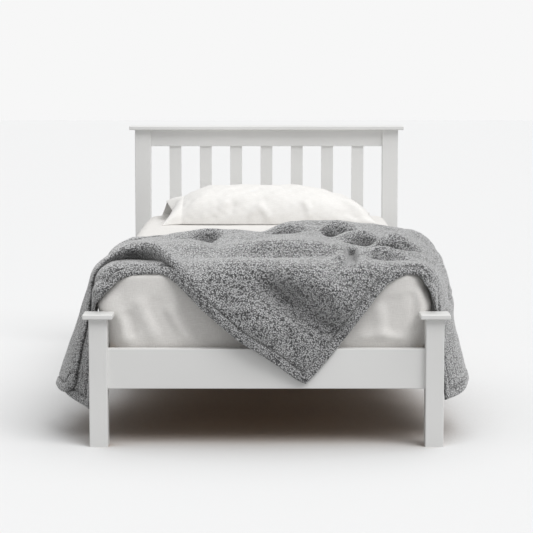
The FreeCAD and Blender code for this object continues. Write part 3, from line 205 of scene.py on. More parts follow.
def webbing():
    """Woven cotton tape, its threads a millimetre apart"""
    s = Shader("webbing")
    place = s.place()
    warp = s.wave(place, 330.0, "X", 0.4)
    weft = s.wave(place, 230.0, "Y", 0.4)
    weave = s.math("MULTIPLY", warp, weft)
    tone = s.ramp(weave, (0.42, 0.40, 0.36), (0.74, 0.72, 0.67))
    return s.finish(tone, 0.9, s.bump(weave, 0.5, 0.0006))


def throw_knit():
    """Grey boucle knit: rows of fuzzy nubs in lighter and darker yarn, with painted shade between the nubs
    and in the hollows of its folds
    """
    s = Shader("grey_knit")
    solid = s.place()
    nub = s.cells(s.place((1.0, 0.28, 1.0), (0.0, 0.18, 0.0)), 262.0, 0.75)
    fleck = s.add("ShaderNodeSeparateColor", {0: nub["Color"]}).outputs["Red"]
    fuzz = s.noise(solid, 560.0, 3.0, 0.7)
    cloud = s.noise(solid, 7.0, 3.0)
    height = s.math("MULTIPLY_ADD", nub["Distance"], -1.1, 1.0)
    height = s.math("MULTIPLY_ADD", fuzz, 0.35, height)
    # The nubs' colour: their yarn's lighter and darker flecks, and painted shade that darkens each nub
    # toward its rim, between the nubs
    fleck_and_gap_shade = s.math("MULTIPLY_ADD", fleck, 0.16, s.math("MULTIPLY", height, 0.85))
    tone = s.ramp(fleck_and_gap_shade, (0.006, 0.006, 0.007), (0.86, 0.865, 0.875), 0.48, 1.02)
    tone = s.mix(s.math("MULTIPLY", cloud, 0.10), tone, (0.11, 0.112, 0.115))
    # Painted shade: the colour is darkened where the cloth's folds close round it
    shade = s.ramp(s.cover(0.11), (0.15, 0.15, 0.15), (1.0, 1.0, 1.0), 0.42, 0.95)
    tone = s.mix(1.0, tone, shade, "MULTIPLY")
    relief = s.bump(height, 1.0, 0.0030)
    return s.finish(tone, 0.93, relief, Sheen_Weight=1.0, Sheen_Roughness=0.55)


def linen(name, light, dark, slub):
    """Plain woven cloth with fine crossing threads, slubs and soft shading"""
    s = Shader(name)
    solid = s.place()
    warp = s.noise(s.place((1.0, 1.0, 0.06)), 900.0, 2.0, 0.6)
    weft = s.noise(s.place((0.06, 0.3, 1.0)), 900.0, 2.0, 0.6)
    weave = s.math("MAXIMUM", warp, weft)
    thick = s.noise(s.place((0.10, 0.5, 1.0)), 230.0, 3.0, 0.65)
    cloud = s.noise(solid, 5.0, 3.0)
    tone = s.ramp(weave, dark, light, 0.42, 0.66)
    tone = s.mix(s.math("MULTIPLY", thick, slub), tone, tuple(c * 0.86 for c in dark))
    tone = s.mix(s.math("MULTIPLY", cloud, 0.25), tone, light)
    relief = s.bump(weave, 0.35, 0.0006)
    relief = s.bump(thick, 0.15, 0.0010, relief)
    return s.finish(tone, 0.88, relief, Sheen_Weight=0.15, Sheen_Roughness=0.4)


def ticking():
    """Quilted mattress cover: white knit with a fine grey stripe"""
    s = Shader("ticking")
    stripe = s.wave(s.place(), 14.0, "X", 0.0)
    knit = s.cells(s.place(), 420.0)["Distance"]
    tone = s.ramp(stripe, (0.62, 0.64, 0.67), (0.84, 0.84, 0.83), 0.02, 0.12)
    tone = s.mix(s.math("MULTIPLY", knit, 0.3), tone, (0.70, 0.70, 0.69))
    return s.finish(tone, 0.9, s.bump(knit, 0.4, 0.0008))


def floor_material():
    """A pale studio floor, white to the camera, that keeps the bed's shadow, with painted dark brown shade
    where the bed is near
    """
    s = Shader("studio_floor")
    rays = s.add("ShaderNodeLightPath")
    # Painted shade: the floor's colour turns dark brown where the bed is near above it
    floor_with_painted_shade = s.ramp(s.cover(0.7), (0.30, 0.20, 0.13), (0.795, 0.798, 0.800), 0.0, 0.62)
    seen = s.math("MAXIMUM", rays.outputs["Is Camera Ray"], rays.outputs["Is Glossy Ray"])
    tone = s.mix(seen, (0.42, 0.42, 0.42), floor_with_painted_shade)
    return s.finish(tone, 0.75)


PAINT = {axis: white_paint(axis) for axis in "xyz"}
PINE_ACROSS = bare_wood("pine_across", "x", (0.66, 0.47, 0.28), (0.50, 0.31, 0.15), 26.0)
PINE_ALONG = bare_wood("pine_along", "y", (0.66, 0.47, 0.28), (0.50, 0.31, 0.15), 26.0)
BEECH = bare_wood("beech", "y", (0.62, 0.42, 0.28), (0.52, 0.33, 0.20), 60.0)
ZINC = zinc_steel()
WEBBING = webbing()
THROW_KNIT = throw_knit()
SHEET_LINEN = linen("sheet_linen", (0.86, 0.845, 0.82), (0.72, 0.70, 0.675), 0.30)
CASE_LINEN = linen("pillowcase_linen", (0.88, 0.87, 0.85), (0.78, 0.765, 0.74), 0.20)
PILLOW_COTTON = linen("pillow_cotton", (0.86, 0.86, 0.85), (0.80, 0.80, 0.79), 0.10)
TICKING = ticking()

# Finish and slot of the frame's pieces, by how their names start
NODE_FINISHES = (
    (("head_post", "foot_post_left", "foot_post_right", "headboard_slat"), PAINT["z"], "white_paint"),
    (("headboard_cap", "foot_post_cap"), PAINT["x"], "white_paint"),
    (("headboard_top", "headboard_bottom", "foot_rail"), PAINT["x"], "white_paint"),
    (("side_rail",), PAINT["y"], "white_paint"),
    (("base_slat",), PINE_ACROSS, "pine"),
    (("slat_ledger",), PINE_ALONG, "pine"),
    (("slat_tape",), WEBBING, "webbing"),
    (("rail_dowels", "cap_dowels"), BEECH, "beech"),
    (("rail_studs", "half_moon", "stud_nuts"), ZINC, "zinc_steel"),
    (("ledger_screws", "end_slat_screws"), ZINC, "zinc_steel"),
)
for starts, material, slot in NODE_FINISHES:
    for name, node in nodes.items():
        if name.startswith(starts):
            node.data.materials.clear()
            node.data.materials.append(material)


# Soft pieces are built on numpy grids
def smooth_curve(knots, values, at):
    """A smooth curve through values at the knots, read at one or more places"""
    knots, values = np.asarray(knots, float), np.asarray(values, float)
    at = np.clip(at, knots[0], knots[-1])
    slopes = np.gradient(values, knots, axis=0)
    i = np.clip(np.searchsorted(knots, at, side="right") - 1, 0, len(knots) - 2)
    span = knots[i + 1] - knots[i]
    u = (at - knots[i]) / span
    if values.ndim > 1 and u.ndim == 1:
        u, span = u[:, None], span[:, None]
    return (
        values[i] * (1 + 2 * u) * (1 - u) ** 2
        + slopes[i] * span * u * (1 - u) ** 2
        + values[i + 1] * u * u * (3 - 2 * u)
        + slopes[i + 1] * span * u * u * (u - 1)
    )


def ease(low, high, at):
    """A smooth step from 0 at low to 1 at high"""
    u = np.clip((at - low) / (high - low), 0.0, 1.0)
    return u * u * (3.0 - 2.0 * u)


def ripple(points, wavelength, seed, octaves=3):
    """Soft seeded noise made of turned sine waves, between about -1 and 1"""
    draw = np.random.default_rng(seed)
    total = np.zeros(points.shape[:-1])
    strength, reach = 0.0, 1.0
    for _ in range(octaves):
        for _ in range(5):
            turn = draw.normal(size=points.shape[-1])
            turn *= 2.0 * math.pi / (wavelength * np.linalg.norm(turn))
            total += reach * np.sin(points @ turn + draw.uniform(0.0, 2.0 * math.pi))
            strength += reach * 0.5
        wavelength, reach = wavelength * 0.5, reach * 0.5
    return total / strength


def away_from_line(points, line):
    """Distance of each point from a broken line, and how far along the line it is, from 0 to 1"""
    line = np.asarray(line, float)
    steps = np.linalg.norm(np.diff(line, axis=0), axis=1)
    begun = np.concatenate([[0.0], np.cumsum(steps)])
    best = np.full(points.shape[:-1], np.inf)
    along = np.zeros_like(best)
    for i, (start, end) in enumerate(zip(line[:-1], line[1:])):
        d = end - start
        off = points - start
        u = np.clip((off @ d) / (d @ d), 0.0, 1.0)
        gap = np.linalg.norm(off - u[..., None] * d, axis=-1)
        along = np.where(gap < best, (begun[i] + u * steps[i]) / begun[-1], along)
        best = np.minimum(best, gap)
    return best, along


def stroke(points, line, width, ends=0.25):
    """A soft ridge along a broken line, which fades out at both ends"""
    gap, along = away_from_line(points, line)
    fade = ease(0.0, ends, along) * ease(0.0, ends, 1.0 - along)
    return np.exp(-((gap / width) ** 2)) * fade


def unit(vectors):
    """Vectors of length one in the same directions"""
    return vectors / np.maximum(np.linalg.norm(vectors, axis=-1, keepdims=True), 1e-12)


def grid_normals(grid):
    """Normals of an open grid of points"""
    return unit(np.cross(np.gradient(grid, axis=0), np.gradient(grid, axis=1)))


def make_piece(name, vertices, faces, material):
    """A smooth shaded mesh object with one material"""
    mesh = bpy.data.meshes.new(name)
    mesh.from_pydata([tuple(v) for v in vertices], [], [tuple(f) for f in faces])
    mesh.materials.append(material)
    mesh.validate()
    mesh.shade_smooth()
    piece = bpy.data.objects.new(name, mesh)
    scene.collection.objects.link(piece)
    return piece


def push_out(points, low, high, radius, clearance, passes=3):
    """Moves points out of a box with round edges, to a clearance from it"""
    centre, half = (low + high) / 2.0, (high - low) / 2.0 - radius
    for _ in range(passes):
        local = points - centre
        beyond = np.abs(local) - half
        outside = np.maximum(beyond, 0.0)
        length = np.linalg.norm(outside, axis=-1)
        gap = length + np.minimum(beyond.max(axis=-1), 0.0) - radius
        inside = np.zeros_like(points)
        np.put_along_axis(inside, beyond.argmax(axis=-1)[..., None], 1.0, axis=-1)
        turn = np.where(length[..., None] > 1e-9, outside / np.maximum(length, 1e-9)[..., None], inside)
        move = np.maximum(clearance - gap, 0.0)[..., None]
        points = points + np.sign(local) * turn * move
    return points


# The throw, in bed coordinates: s runs across the bed and down its sides, t along it and down the foot.
# TOP is the height of its middle surface, HALF_TOP and FRONT_EDGE are where it begins to bend down.
TOP = 0.5066
HALF_TOP = 0.4275
FRONT_EDGE = -0.9107
THROW_THICKNESS = 0.0075
THROW_CLEARANCE = 0.0008
# Its bend over the foot, rounder in the middle, and its lean down to the rail, past which it hangs upright
FRONT_ROUND = 0.045
FRONT_ROUNDER = 0.030
FRONT_LEAN = math.radians(13.5)
RAIL_FRONT = -0.9985
UPRIGHT = 0.97
# For each side, places along the bed with the radius of the throw's shoulder, and with its hang's slope
SIDE_ROUND = {
    -1: ((-0.95, -0.85, -0.7, -0.4, 0.25), (0.046, 0.064, 0.084, 0.084, 0.070)),
    1: ((-0.95, -0.86, -0.7, -0.4, 0.25), (0.046, 0.075, 0.095, 0.100, 0.095)),
}
SIDE_SLOPE = {
    -1: ((-0.95, -0.90, -0.82, -0.72, -0.62, -0.50, -0.40, -0.28, -0.16, -0.02, 0.10, 0.25),
         (2.0, 4.5, 14.0, 18.5, 13.0, 16.5, 9.0, 15.0, 7.0, 13.0, 6.0, 9.0)),
    1: ((-0.95, -0.90, -0.82, -0.74, -0.60, -0.50, -0.38, -0.26, -0.12, 0.02, 0.12, 0.25),
        (2.5, 5.0, 12.0, 14.5, 8.0, 13.0, 6.0, 12.5, 6.0, 11.0, 5.0, 8.0)),
}


def side_shape(y, side):
    """Radius of the shoulder and slope of the hang at one place along the bed"""
    return smooth_curve(*SIDE_ROUND[side], y), np.radians(smooth_curve(*SIDE_SLOPE[side], y))


def lay(s, t):
    """The place and outward normal of the throw over the made bed"""
    over_side = np.maximum(np.abs(s) - HALF_TOP, 0.0)
    over_foot = np.maximum(FRONT_EDGE - t, 0.0)
    length = np.maximum(np.hypot(over_side, over_foot), 1e-9)
    toward_x, toward_y = np.sign(s) * over_side / length, -over_foot / length
    left_radius, left_slope = side_shape(t, -1)
    right_radius, right_slope = side_shape(t, 1)
    side_radius = np.where(s < 0, left_radius, right_radius)
    side_slope = np.where(s < 0, left_slope, right_slope)
    share = toward_y ** 2
    front_radius = FRONT_ROUND + FRONT_ROUNDER * ease(-0.30, -0.16, s) * ease(0.38, 0.24, s)
    radius = front_radius * share + side_radius * (1.0 - share)
    slope = FRONT_LEAN * share + side_slope * (1.0 - share)
    last = math.pi / 2.0 - slope
    angle = np.minimum(length / radius, last)
    hang = np.maximum(length - radius * last, 0.0)
    out = radius * np.sin(angle) + hang * np.sin(slope)
    z = TOP - radius * (1.0 - np.cos(angle)) - hang * np.cos(slope)
    x = np.clip(s, -HALF_TOP, HALF_TOP) + toward_x * out
    y = np.maximum(t, FRONT_EDGE) + toward_y * out
    past = np.maximum(RAIL_FRONT - y, 0.0) * (share > 0.5)
    z = z - past * math.tan(FRONT_LEAN / 2.0)
    y = y + past * UPRIGHT
    normal = np.stack([toward_x * np.sin(angle), toward_y * np.sin(angle), np.cos(angle)], axis=-1)
    return np.stack([x, y, z], axis=-1), normal


FRONT_RUN = np.linspace(0.0, 0.5, 400)


def foot_depth(s, z):
    """How far down the foot, along the cloth, a height lies at one place across the bed"""
    heights = lay(np.full(len(FRONT_RUN), s), FRONT_EDGE - FRONT_RUN)[0][:, 2]
    return float(np.interp(-z, -heights, FRONT_RUN))


# The hem across the foot, from the left side's lower end to the right one's: s and t, or height on the flap
LEFT_HEM = (
    (-0.88, -0.918), (-0.78, -0.920), (-0.70, -0.925), (-0.64, -0.940), (-0.60, -0.962),
    (-0.549, -0.988), (-0.50, -1.003), (-0.457, -1.001), (-0.43, -0.985), (-0.405, -0.970),
    (-0.38, -0.961), (-0.34, -0.957), (-0.30, -0.957),
)
FLAP_HEM = (
    (-0.278, 0.476), (-0.251, 0.457), (-0.216, 0.423), (-0.179, 0.385), (-0.1415, 0.352),
    (-0.104, 0.319), (-0.076, 0.296), (-0.046, 0.278), (-0.008, 0.2545), (0.029, 0.230),
    (0.0566, 0.209), (0.0866, 0.189), (0.104, 0.1805), (0.109, 0.179), (0.114, 0.182), (0.138, 0.207),
    (0.168, 0.2415), (0.196, 0.276), (0.243, 0.337), (0.282, 0.386), (0.3115, 0.4245), (0.341, 0.456),
    (0.371, 0.473),
)
RIGHT_HEM = (
    (0.40, -0.958), (0.4275, -0.960), (0.4387, -0.966), (0.46, -0.980), (0.4795, -0.9915),
    (0.51, -0.999), (0.5435, -0.998), (0.60, -0.965), (0.68, -0.938), (0.84, -0.918),
)
HEM = np.array([*LEFT_HEM, *((s, FRONT_EDGE - foot_depth(s, z)) for s, z in FLAP_HEM), *RIGHT_HEM])
# The throw's edge toward the head end, in s and t
BACK = np.array((
    (-0.88, -0.30), (-0.70, -0.28), (-0.55, -0.25), (-0.47, -0.20), (-0.42, -0.13), (-0.38, -0.07),
    (-0.33, -0.02), (-0.20, 0.02), (-0.08, 0.01), (0.0, 0.03), (0.05, 0.09), (0.12, 0.15),
    (0.22, 0.17), (0.33, 0.17), (0.42, 0.15), (0.50, 0.11), (0.60, 0.07), (0.84, 0.05),
))
# The pleat at the left: its front fold, shares of the way along the cloth, with its height there, and depth
PLEAT_FOLD = np.array((
    (-0.88, -0.850), (-0.79, -0.855), (-0.665, -0.862), (-0.55, -0.868), (-0.475, -0.862),
    (-0.438, -0.850), (-0.398, -0.830), (-0.365, -0.838), (-0.335, -0.862), (-0.305, -0.898),
    (-0.28, -0.928), (-0.25, -0.953), (-0.22, -0.980), (-0.19, -1.010), (-0.15, -1.052),
    (-0.10, -1.105), (-0.05, -1.16),
))
PLEAT_KNOTS = (0.0, 0.50, 0.64, 0.70, 0.735, 0.76, 0.84, 0.865, 1.0)
PLEAT_LIFT = (0.0, 0.004, 0.030, 0.036, 0.026, 0.011, 0.008, 0.004, 0.0)
PLEAT_DEPTH = 0.10
# Length of the hang at both sides, at shares of the way from the back edge to the hem
LEFT_DROP = ((0.0, 0.3, 0.6, 0.70, 0.76, 0.86, 1.0), (0.40, 0.425, 0.44, 0.425, 0.385, 0.42, 0.450))
RIGHT_DROP = ((0.0, 0.3, 0.6, 0.85, 0.93, 1.0), (0.33, 0.36, 0.40, 0.42, 0.43, 0.422))


def throw_grid(rows=420, columns=400):
    """Cloth coordinates s and t of the throw, its height in the pleat, and where it lies under the pleat"""
    a = np.linspace(0.0, 1.0, columns)[None, :]
    b = np.linspace(0.0, 1.0, rows)[:, None]
    left_drop = smooth_curve(*LEFT_DROP, b)
    right_drop = smooth_curve(*RIGHT_DROP, b)
    s = -(HALF_TOP + left_drop) + a * (2.0 * HALF_TOP + left_drop + right_drop)
    hem = np.interp(s, HEM[:, 0], HEM[:, 1])
    back = smooth_curve(BACK[:, 0], BACK[:, 1], s)
    fold = smooth_curve(PLEAT_FOLD[:, 0], PLEAT_FOLD[:, 1], s)
    pleated = 1.0 - ease(-0.345, -0.225, s)
    rolled = 1.0 - ease(-0.20, 0.02, s)
    deep = PLEAT_DEPTH * pleated
    apart = np.maximum(fold - hem, 0.0) * (1.0 - pleated)
    flat = [back + (hem - back) * k for k in PLEAT_KNOTS]
    gathered = [
        back, fold + 0.20, fold + 0.06, fold + 0.014, fold, fold + 0.010 * pleated - 0.15 * apart,
        fold + deep - 0.42 * apart, fold + deep + 0.004 * pleated - 0.50 * apart, hem,
    ]
    t, lift = np.zeros_like(s), np.zeros_like(s)
    knots = np.array(PLEAT_KNOTS)
    values = np.stack([f * (1 - rolled) + g * rolled for f, g in zip(flat, gathered)])
    over_edge = 0.32 + 0.68 * ease(-0.475, -0.405, s)
    raised = np.stack([h * pleated * over_edge for h in PLEAT_LIFT])
    for row, place in enumerate(b[:, 0]):
        t[row] = smooth_curve(knots, values[:, row, :], np.array([place]))[0]
        lift[row] = smooth_curve(knots, raised[:, row, :], np.array([place]))[0]
    under = pleated * ease(0.70, 0.76, b)
    return s, t, lift, under


# The throw's form over the bed: at a place across it, places along it with the cloth's height, in mm
FORM = {
    -445: ((-840, 0), (-700, 4), (-550, 2), (-400, 0), (-260, 0)),
    -410: ((-900, 0), (-840, 3), (-770, 8), (-700, 11), (-600, 10), (-480, 5), (-350, 2), (-200, 1)),
    -350: ((-900, 0), (-840, 4), (-770, 13), (-700, 21), (-610, 26), (-520, 25), (-430, 23), (-330, 24),
        (-220, 13), (-100, 4)),
    -295: ((-920, 0), (-840, 4), (-770, 18), (-700, 31), (-630, 36), (-550, 32), (-460, 27), (-400, 27),
        (-330, 36), (-240, 20), (-120, 6), (-30, 1)),
    -250: ((-840, 3), (-770, 17), (-700, 37), (-650, 42), (-580, 37), (-510, 27), (-430, 19), (-380, 26),
        (-330, 40), (-240, 22), (-120, 6)),
    -200: ((-920, 0), (-860, 2), (-790, 9), (-720, 36), (-660, 40), (-580, 31), (-500, 10), (-410, 2),
        (-378, 6), (-364, 38), (-330, 46), (-240, 24), (-120, 6), (-20, 1)),
    -165: ((-860, 1), (-790, 8), (-740, 24), (-670, 27), (-570, 20), (-500, 7), (-410, 1), (-378, 6),
        (-364, 40), (-335, 47), (-240, 24), (-120, 6)),
    -130: ((-920, 0), (-860, 1), (-790, 7), (-740, 24), (-680, 27), (-580, 22), (-510, 26), (-440, 35),
        (-390, 39), (-330, 45), (-240, 26), (-120, 7), (-20, 1)),
    -100: ((-790, 7), (-740, 30), (-670, 35), (-600, 31), (-520, 34), (-430, 40), (-330, 44), (-240, 28),
        (-120, 8)),
    -60: ((-920, 0), (-860, 1), (-790, 7), (-745, 34), (-690, 39), (-630, 35), (-580, 29), (-520, 39),
        (-460, 43), (-320, 42), (-240, 28), (-120, 9), (-30, 1)),
    -10: ((-790, 7), (-745, 41), (-700, 48), (-600, 42), (-500, 38), (-400, 38), (-300, 35), (-220, 26),
        (-120, 13), (0, 2)),
    45: ((-920, 0), (-860, 1), (-790, 7), (-745, 42), (-700, 50), (-600, 44), (-520, 40), (-440, 38),
        (-400, 20), (-362, 22), (-345, 48), (-220, 38), (-145, 32), (-80, 40), (0, 25), (60, 6)),
    85: ((-790, 7), (-745, 43), (-700, 51), (-600, 46), (-520, 42), (-440, 40), (-400, 22), (-362, 24),
        (-345, 50), (-220, 40), (-145, 35), (-80, 49), (0, 32), (80, 9)),
    130: ((-920, 0), (-860, 1), (-790, 7), (-745, 41), (-700, 49), (-600, 45), (-520, 43), (-420, 46),
        (-340, 49), (-240, 41), (-150, 36), (-80, 51), (0, 34), (100, 8)),
    165: ((-790, 7), (-745, 37), (-700, 42), (-600, 41), (-520, 40), (-440, 45), (-360, 50), (-240, 42),
        (-150, 37), (-80, 52), (20, 32), (120, 7)),
    195: ((-920, 0), (-860, 1), (-790, 7), (-740, 30), (-700, 34), (-620, 33), (-540, 33), (-485, 36),
        (-435, 14), (-400, 16), (-388, 52), (-280, 45), (-170, 40), (-80, 52), (20, 32), (120, 8)),
    240: ((-860, 2), (-790, 9), (-730, 25), (-680, 29), (-620, 29), (-540, 38), (-465, 46), (-425, 20),
        (-394, 20), (-380, 53), (-280, 45), (-170, 40), (-80, 51), (20, 32), (120, 8)),
    280: ((-920, 0), (-870, 4), (-800, 20), (-730, 17), (-660, 13), (-620, 20), (-585, 4), (-558, 5),
        (-546, 33), (-460, 38), (-390, 42), (-300, 42), (-180, 40), (-80, 48), (20, 30), (120, 8)),
    315: ((-900, 0), (-872, 0), (-845, 2), (-834, 25), (-750, 16), (-670, 15), (-615, 20), (-585, 1),
        (-558, 3), (-546, 34), (-460, 34), (-350, 35), (-200, 38), (-80, 46), (20, 28), (120, 6)),
    350: ((-920, 0), (-885, 0), (-856, 1), (-845, 23), (-770, 14), (-720, 20), (-690, 2), (-664, 4),
        (-652, 33), (-570, 28), (-525, 32), (-420, 30), (-300, 33), (-200, 38), (-80, 43), (30, 24),
        (120, 5)),
    385: ((-850, 1), (-838, 16), (-760, 9), (-710, 18), (-685, 0), (-659, 3), (-647, 34), (-550, 24),
        (-420, 24), (-300, 28), (-180, 28), (-80, 38), (30, 20), (120, 4)),
    420: ((-900, 0), (-840, 2), (-770, 5), (-710, 13), (-680, 0), (-650, 3), (-638, 27), (-520, 18),
        (-400, 20), (-270, 24), (-150, 24), (-70, 32), (30, 18), (100, 6)),
    460: ((-860, 0), (-760, 4), (-680, 9), (-580, 15), (-450, 20), (-300, 23), (-150, 24), (-50, 24),
        (50, 12)),
}
FORM_SOFTNESS = 1e-7
# Where the table holds, across and along the bed, and the cloth's extra height where it turns over the foot
FORM_ACROSS = (-0.445, 0.46)
FORM_ALONG = (-0.92, 0.16)
BROW_HIGH = 0.012


def form(s, t):
    """Height of the bunched throw over the bed, a smooth surface through the places of the table"""
    places = np.array([(x, y) for x, row in FORM.items() for y, _ in row]) / 1000.0
    heights = np.array([h for row in FORM.values() for _, h in row]) / 1000.0
    count = len(places)

    def kernel(gap):
        return gap * gap * np.log(np.maximum(gap, 1e-9))

    frame_rows = np.concatenate([np.ones((count, 1)), places], axis=1)
    matrix = np.zeros((count + 3, count + 3))
    matrix[:count, :count] = kernel(np.linalg.norm(places[:, None] - places[None], axis=-1))
    matrix[:count, :count] += FORM_SOFTNESS * np.eye(count)
    matrix[:count, count:], matrix[count:, :count] = frame_rows, frame_rows.T
    pull = np.linalg.solve(matrix, np.concatenate([heights, np.zeros(3)]))
    x, y = np.clip(s, *FORM_ACROSS), np.clip(t, *FORM_ALONG)
    height = pull[count] + pull[count + 1] * x + pull[count + 2] * y
    for (px, py), weight in zip(places, pull):
        height = height + weight * kernel(np.hypot(x - px, y - py))
    back = smooth_curve(BACK[:, 0], BACK[:, 1], s)
    height = np.maximum(height, 0.0) * ease(0.0, 0.05, back - t)
    height = height * ease(-0.93, -0.88, t)
    brow = BROW_HIGH * ease(-0.80, -0.90, t) * ease(-1.03, -0.94, t)
    brow = brow * ease(-0.24, -0.12, s) * ease(0.36, 0.26, s)
    return (height + brow) * np.where(s < 0, ease(-0.56, -0.44, s), ease(0.68, 0.52, s))


# Creases and ridges on the bed and over its right side: line, half width, height, fade at the ends
CREASES = (
    ((
        (0.256, -0.66), (0.247, -0.72), (0.243, -0.78), (0.246, -0.84), (0.243, -0.90), (0.238, -0.95),
    ), 0.0125, -0.042, 0.08),
    (((0.278, -0.68), (0.272, -0.78), (0.270, -0.88)), 0.016, 0.008, 0.3),
    ((
        (0.39, 0.16), (0.43, 0.09), (0.475, -0.10), (0.516, -0.35), (0.56, -0.60), (0.585, -0.72),
        (0.60, -0.80),
    ), 0.011, -0.022, 0.06),
    ((
        (0.43, 0.17), (0.465, 0.10), (0.512, -0.10), (0.553, -0.35), (0.597, -0.60), (0.622, -0.72),
        (0.64, -0.80),
    ), 0.022, 0.012, 0.12),
    ((
        (-0.42, -0.80), (-0.36, -0.825), (-0.31, -0.875), (-0.265, -0.935), (-0.20, -1.01),
        (-0.13, -1.09), (-0.07, -1.16),
    ), 0.022, 0.016, 0.25),
)
# Folds on the flap: line in s and t, half width and height, negative for a hollow
FLAP_FOLDS = (
    (((-0.06, -0.96), (0.02, -1.02), (0.10, -1.08), (0.17, -1.12), (0.25, -1.14)), 0.034, -0.028),
    (((0.02, -0.96), (0.10, -0.99), (0.19, -1.03), (0.27, -1.06)), 0.040, 0.022),
    (((-0.22, -0.96), (-0.08, -1.06), (0.05, -1.18)), 0.05, 0.016),
    (((0.236, -0.64), (0.250, -0.76), (0.240, -0.97)), 0.014, -0.020),
    (((0.213, -0.64), (0.222, -0.78), (0.212, -0.96)), 0.022, 0.014),
    (((0.20, -0.90), (0.215, -0.96), (0.215, -1.02)), 0.026, -0.010),
)
# How far the flap's left part stands off, and the cloth's own softness on the bed and on the flap
FLAP_STAND_OFF = 0.020
SOFT_ON_BED = 0.003
SOFT_ON_FLAP = 0.002


def throw_surface():
    """The throw's middle surface with all its folds"""
    s, t, pleat, under = throw_grid()
    cloth = np.stack([s, t], axis=-1)
    place, normal = lay(s, t)
    lift = pleat + form(s, t) * (1.0 - under)
    for line, width, height, ends in CREASES:
        lift += height * stroke(cloth, line, width, ends) * (1.0 - under)
    for line, width, height in FLAP_FOLDS:
        lift += height * stroke(cloth, line, width)
    proud = (1.0 - ease(-0.02, 0.16, s)) * ease(-1.04, -1.15, t)
    lift += FLAP_STAND_OFF * proud
    over_foot = ease(FRONT_EDGE + 0.05, FRONT_EDGE - 0.05, t)
    soft = ripple(cloth, 0.22, 5)
    lift += SOFT_ON_BED * (soft + 1.0) * (1.0 - over_foot) + SOFT_ON_FLAP * soft * over_foot
    return s, t, place + normal * lift[..., None]


# What the throw lies clear of: the sheet's box, its bulged corners at the foot, and the frame's pieces
SHEET_LOW = (-0.4662, -0.9515, 0.2600)
SHEET_HIGH = (0.4662, 0.9530, 0.5021)
SHEET_ROUND = 0.044
SHEET_CORNER_ROUND = 0.062
BULGED_CORNERS = ((-1.0, 0.489), (1.0, 0.479))
BULGED_PLACE = (-0.918, 0.405)
BULGED_HALF = (0.045, 0.048, 0.060)
BULGED_ROUND = 0.040
FRAME_ROUNDS = (
    ("foot_post_left", 0.003), ("foot_post_right", 0.003),
    ("foot_post_cap_left", 0.0035), ("foot_post_cap_right", 0.0035),
    ("foot_rail", 0.002), ("side_rail_left", 0.002), ("side_rail_right", 0.002),
)


def clear_of_bed(grid):
    """The throw's middle surface, pushed clear of the sheet and the frame"""
    gap = THROW_THICKNESS / 2.0 + THROW_CLEARANCE
    low, high = np.array(SHEET_LOW), np.array(SHEET_HIGH)
    corner = ease(0.36, 0.44, np.abs(grid[..., :1])) * ease(-0.84, -0.92, grid[..., 1:2])
    tight = push_out(grid, low, high, SHEET_CORNER_ROUND, gap)
    grid = push_out(grid, low, high, SHEET_ROUND, gap)
    grid = grid + (tight - grid) * corner
    half = np.array(BULGED_HALF)
    for side, reach in BULGED_CORNERS:
        middle = np.array((side * (reach - BULGED_HALF[0]), *BULGED_PLACE))
        grid = push_out(grid, middle - half, middle + half, BULGED_ROUND, gap)
    for name, radius in FRAME_ROUNDS:
        low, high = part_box(name)
        grid = push_out(grid, np.array(low), np.array(high), radius, gap)
    return grid


def edge_gap(s, t):
    """Distance of each grid point from the throw's edge, measured on the cloth laid flat"""
    run = np.concatenate([np.abs(np.diff(t, axis=0)), np.zeros((1, t.shape[1]))])
    flat_t = t[-1] + np.cumsum(run[::-1], axis=0)[::-1]
    rim = np.zeros(s.shape, bool)
    rim[0], rim[-1], rim[:, 0], rim[:, -1] = True, True, True, True
    tree = KDTree(int(rim.sum()))
    for i, (x, y) in enumerate(zip(s[rim], flat_t[rim])):
        tree.insert((x, y, 0.0), i)
    tree.balance()
    gap = [tree.find((x, y, 0.0))[2] for x, y in zip(s.ravel(), flat_t.ravel())]
    return np.array(gap).reshape(s.shape)


# Least share of a cloth's thickness left at its very edge, squared
EDGE_LEAST = 0.02


def layered(grid, thickness, rim, rounding):
    """Vertices and faces of a cloth with a thickness and a round edge, from its middle surface"""
    rows, columns = grid.shape[:2]
    normal = grid_normals(grid)
    near = np.clip(rim / rounding, 0.0, 1.0)
    half = thickness / 2.0 * np.sqrt(np.maximum(1.0 - (1.0 - near) ** 2, EDGE_LEAST))
    upper = grid + normal * half[..., None]
    lower = grid - normal * half[..., None]
    index = np.arange(rows * columns).reshape(rows, columns)
    quads = np.stack([index[:-1, :-1], index[1:, :-1], index[1:, 1:], index[:-1, 1:]], axis=-1)
    quads = quads.reshape(-1, 4)
    under = quads[:, ::-1] + rows * columns
    loop = np.concatenate([index[0, :], index[1:, -1], index[-1, -2::-1], index[-2:0:-1, 0]])
    following = np.roll(loop, -1)
    skirt = np.stack([loop, following, following + rows * columns, loop + rows * columns], axis=-1)
    vertices = np.concatenate([upper.reshape(-1, 3), lower.reshape(-1, 3)])
    return vertices, np.concatenate([quads, under, skirt])


# The stitched hem: how much thicker its band is, its width, and the groove of its seam
HEM_THICKER = 0.0020
HEM_WIDTH = (0.026, 0.020)
SEAM_DEPTH = 0.0050
SEAM_PLACE = 0.0275
SEAM_HALF = 0.004
THROW_EDGE_ROUND = 0.005


def throw():
    """The knitted throw, laid over the bed with one corner over the foot"""
    s, t, grid = throw_surface()
    gap = edge_gap(s, t)
    seam = np.exp(-(((gap - SEAM_PLACE) / SEAM_HALF) ** 2))
    band = HEM_THICKER * ease(*HEM_WIDTH, gap) - SEAM_DEPTH * seam
    grid = clear_of_bed(grid + grid_normals(grid) * band[..., None])
    vertices, faces = layered(grid, THROW_THICKNESS, gap, THROW_EDGE_ROUND)
    piece = make_piece("throw_cloth", vertices, faces, THROW_KNIT)
    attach(piece, "throw")
    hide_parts("throw_blanket")


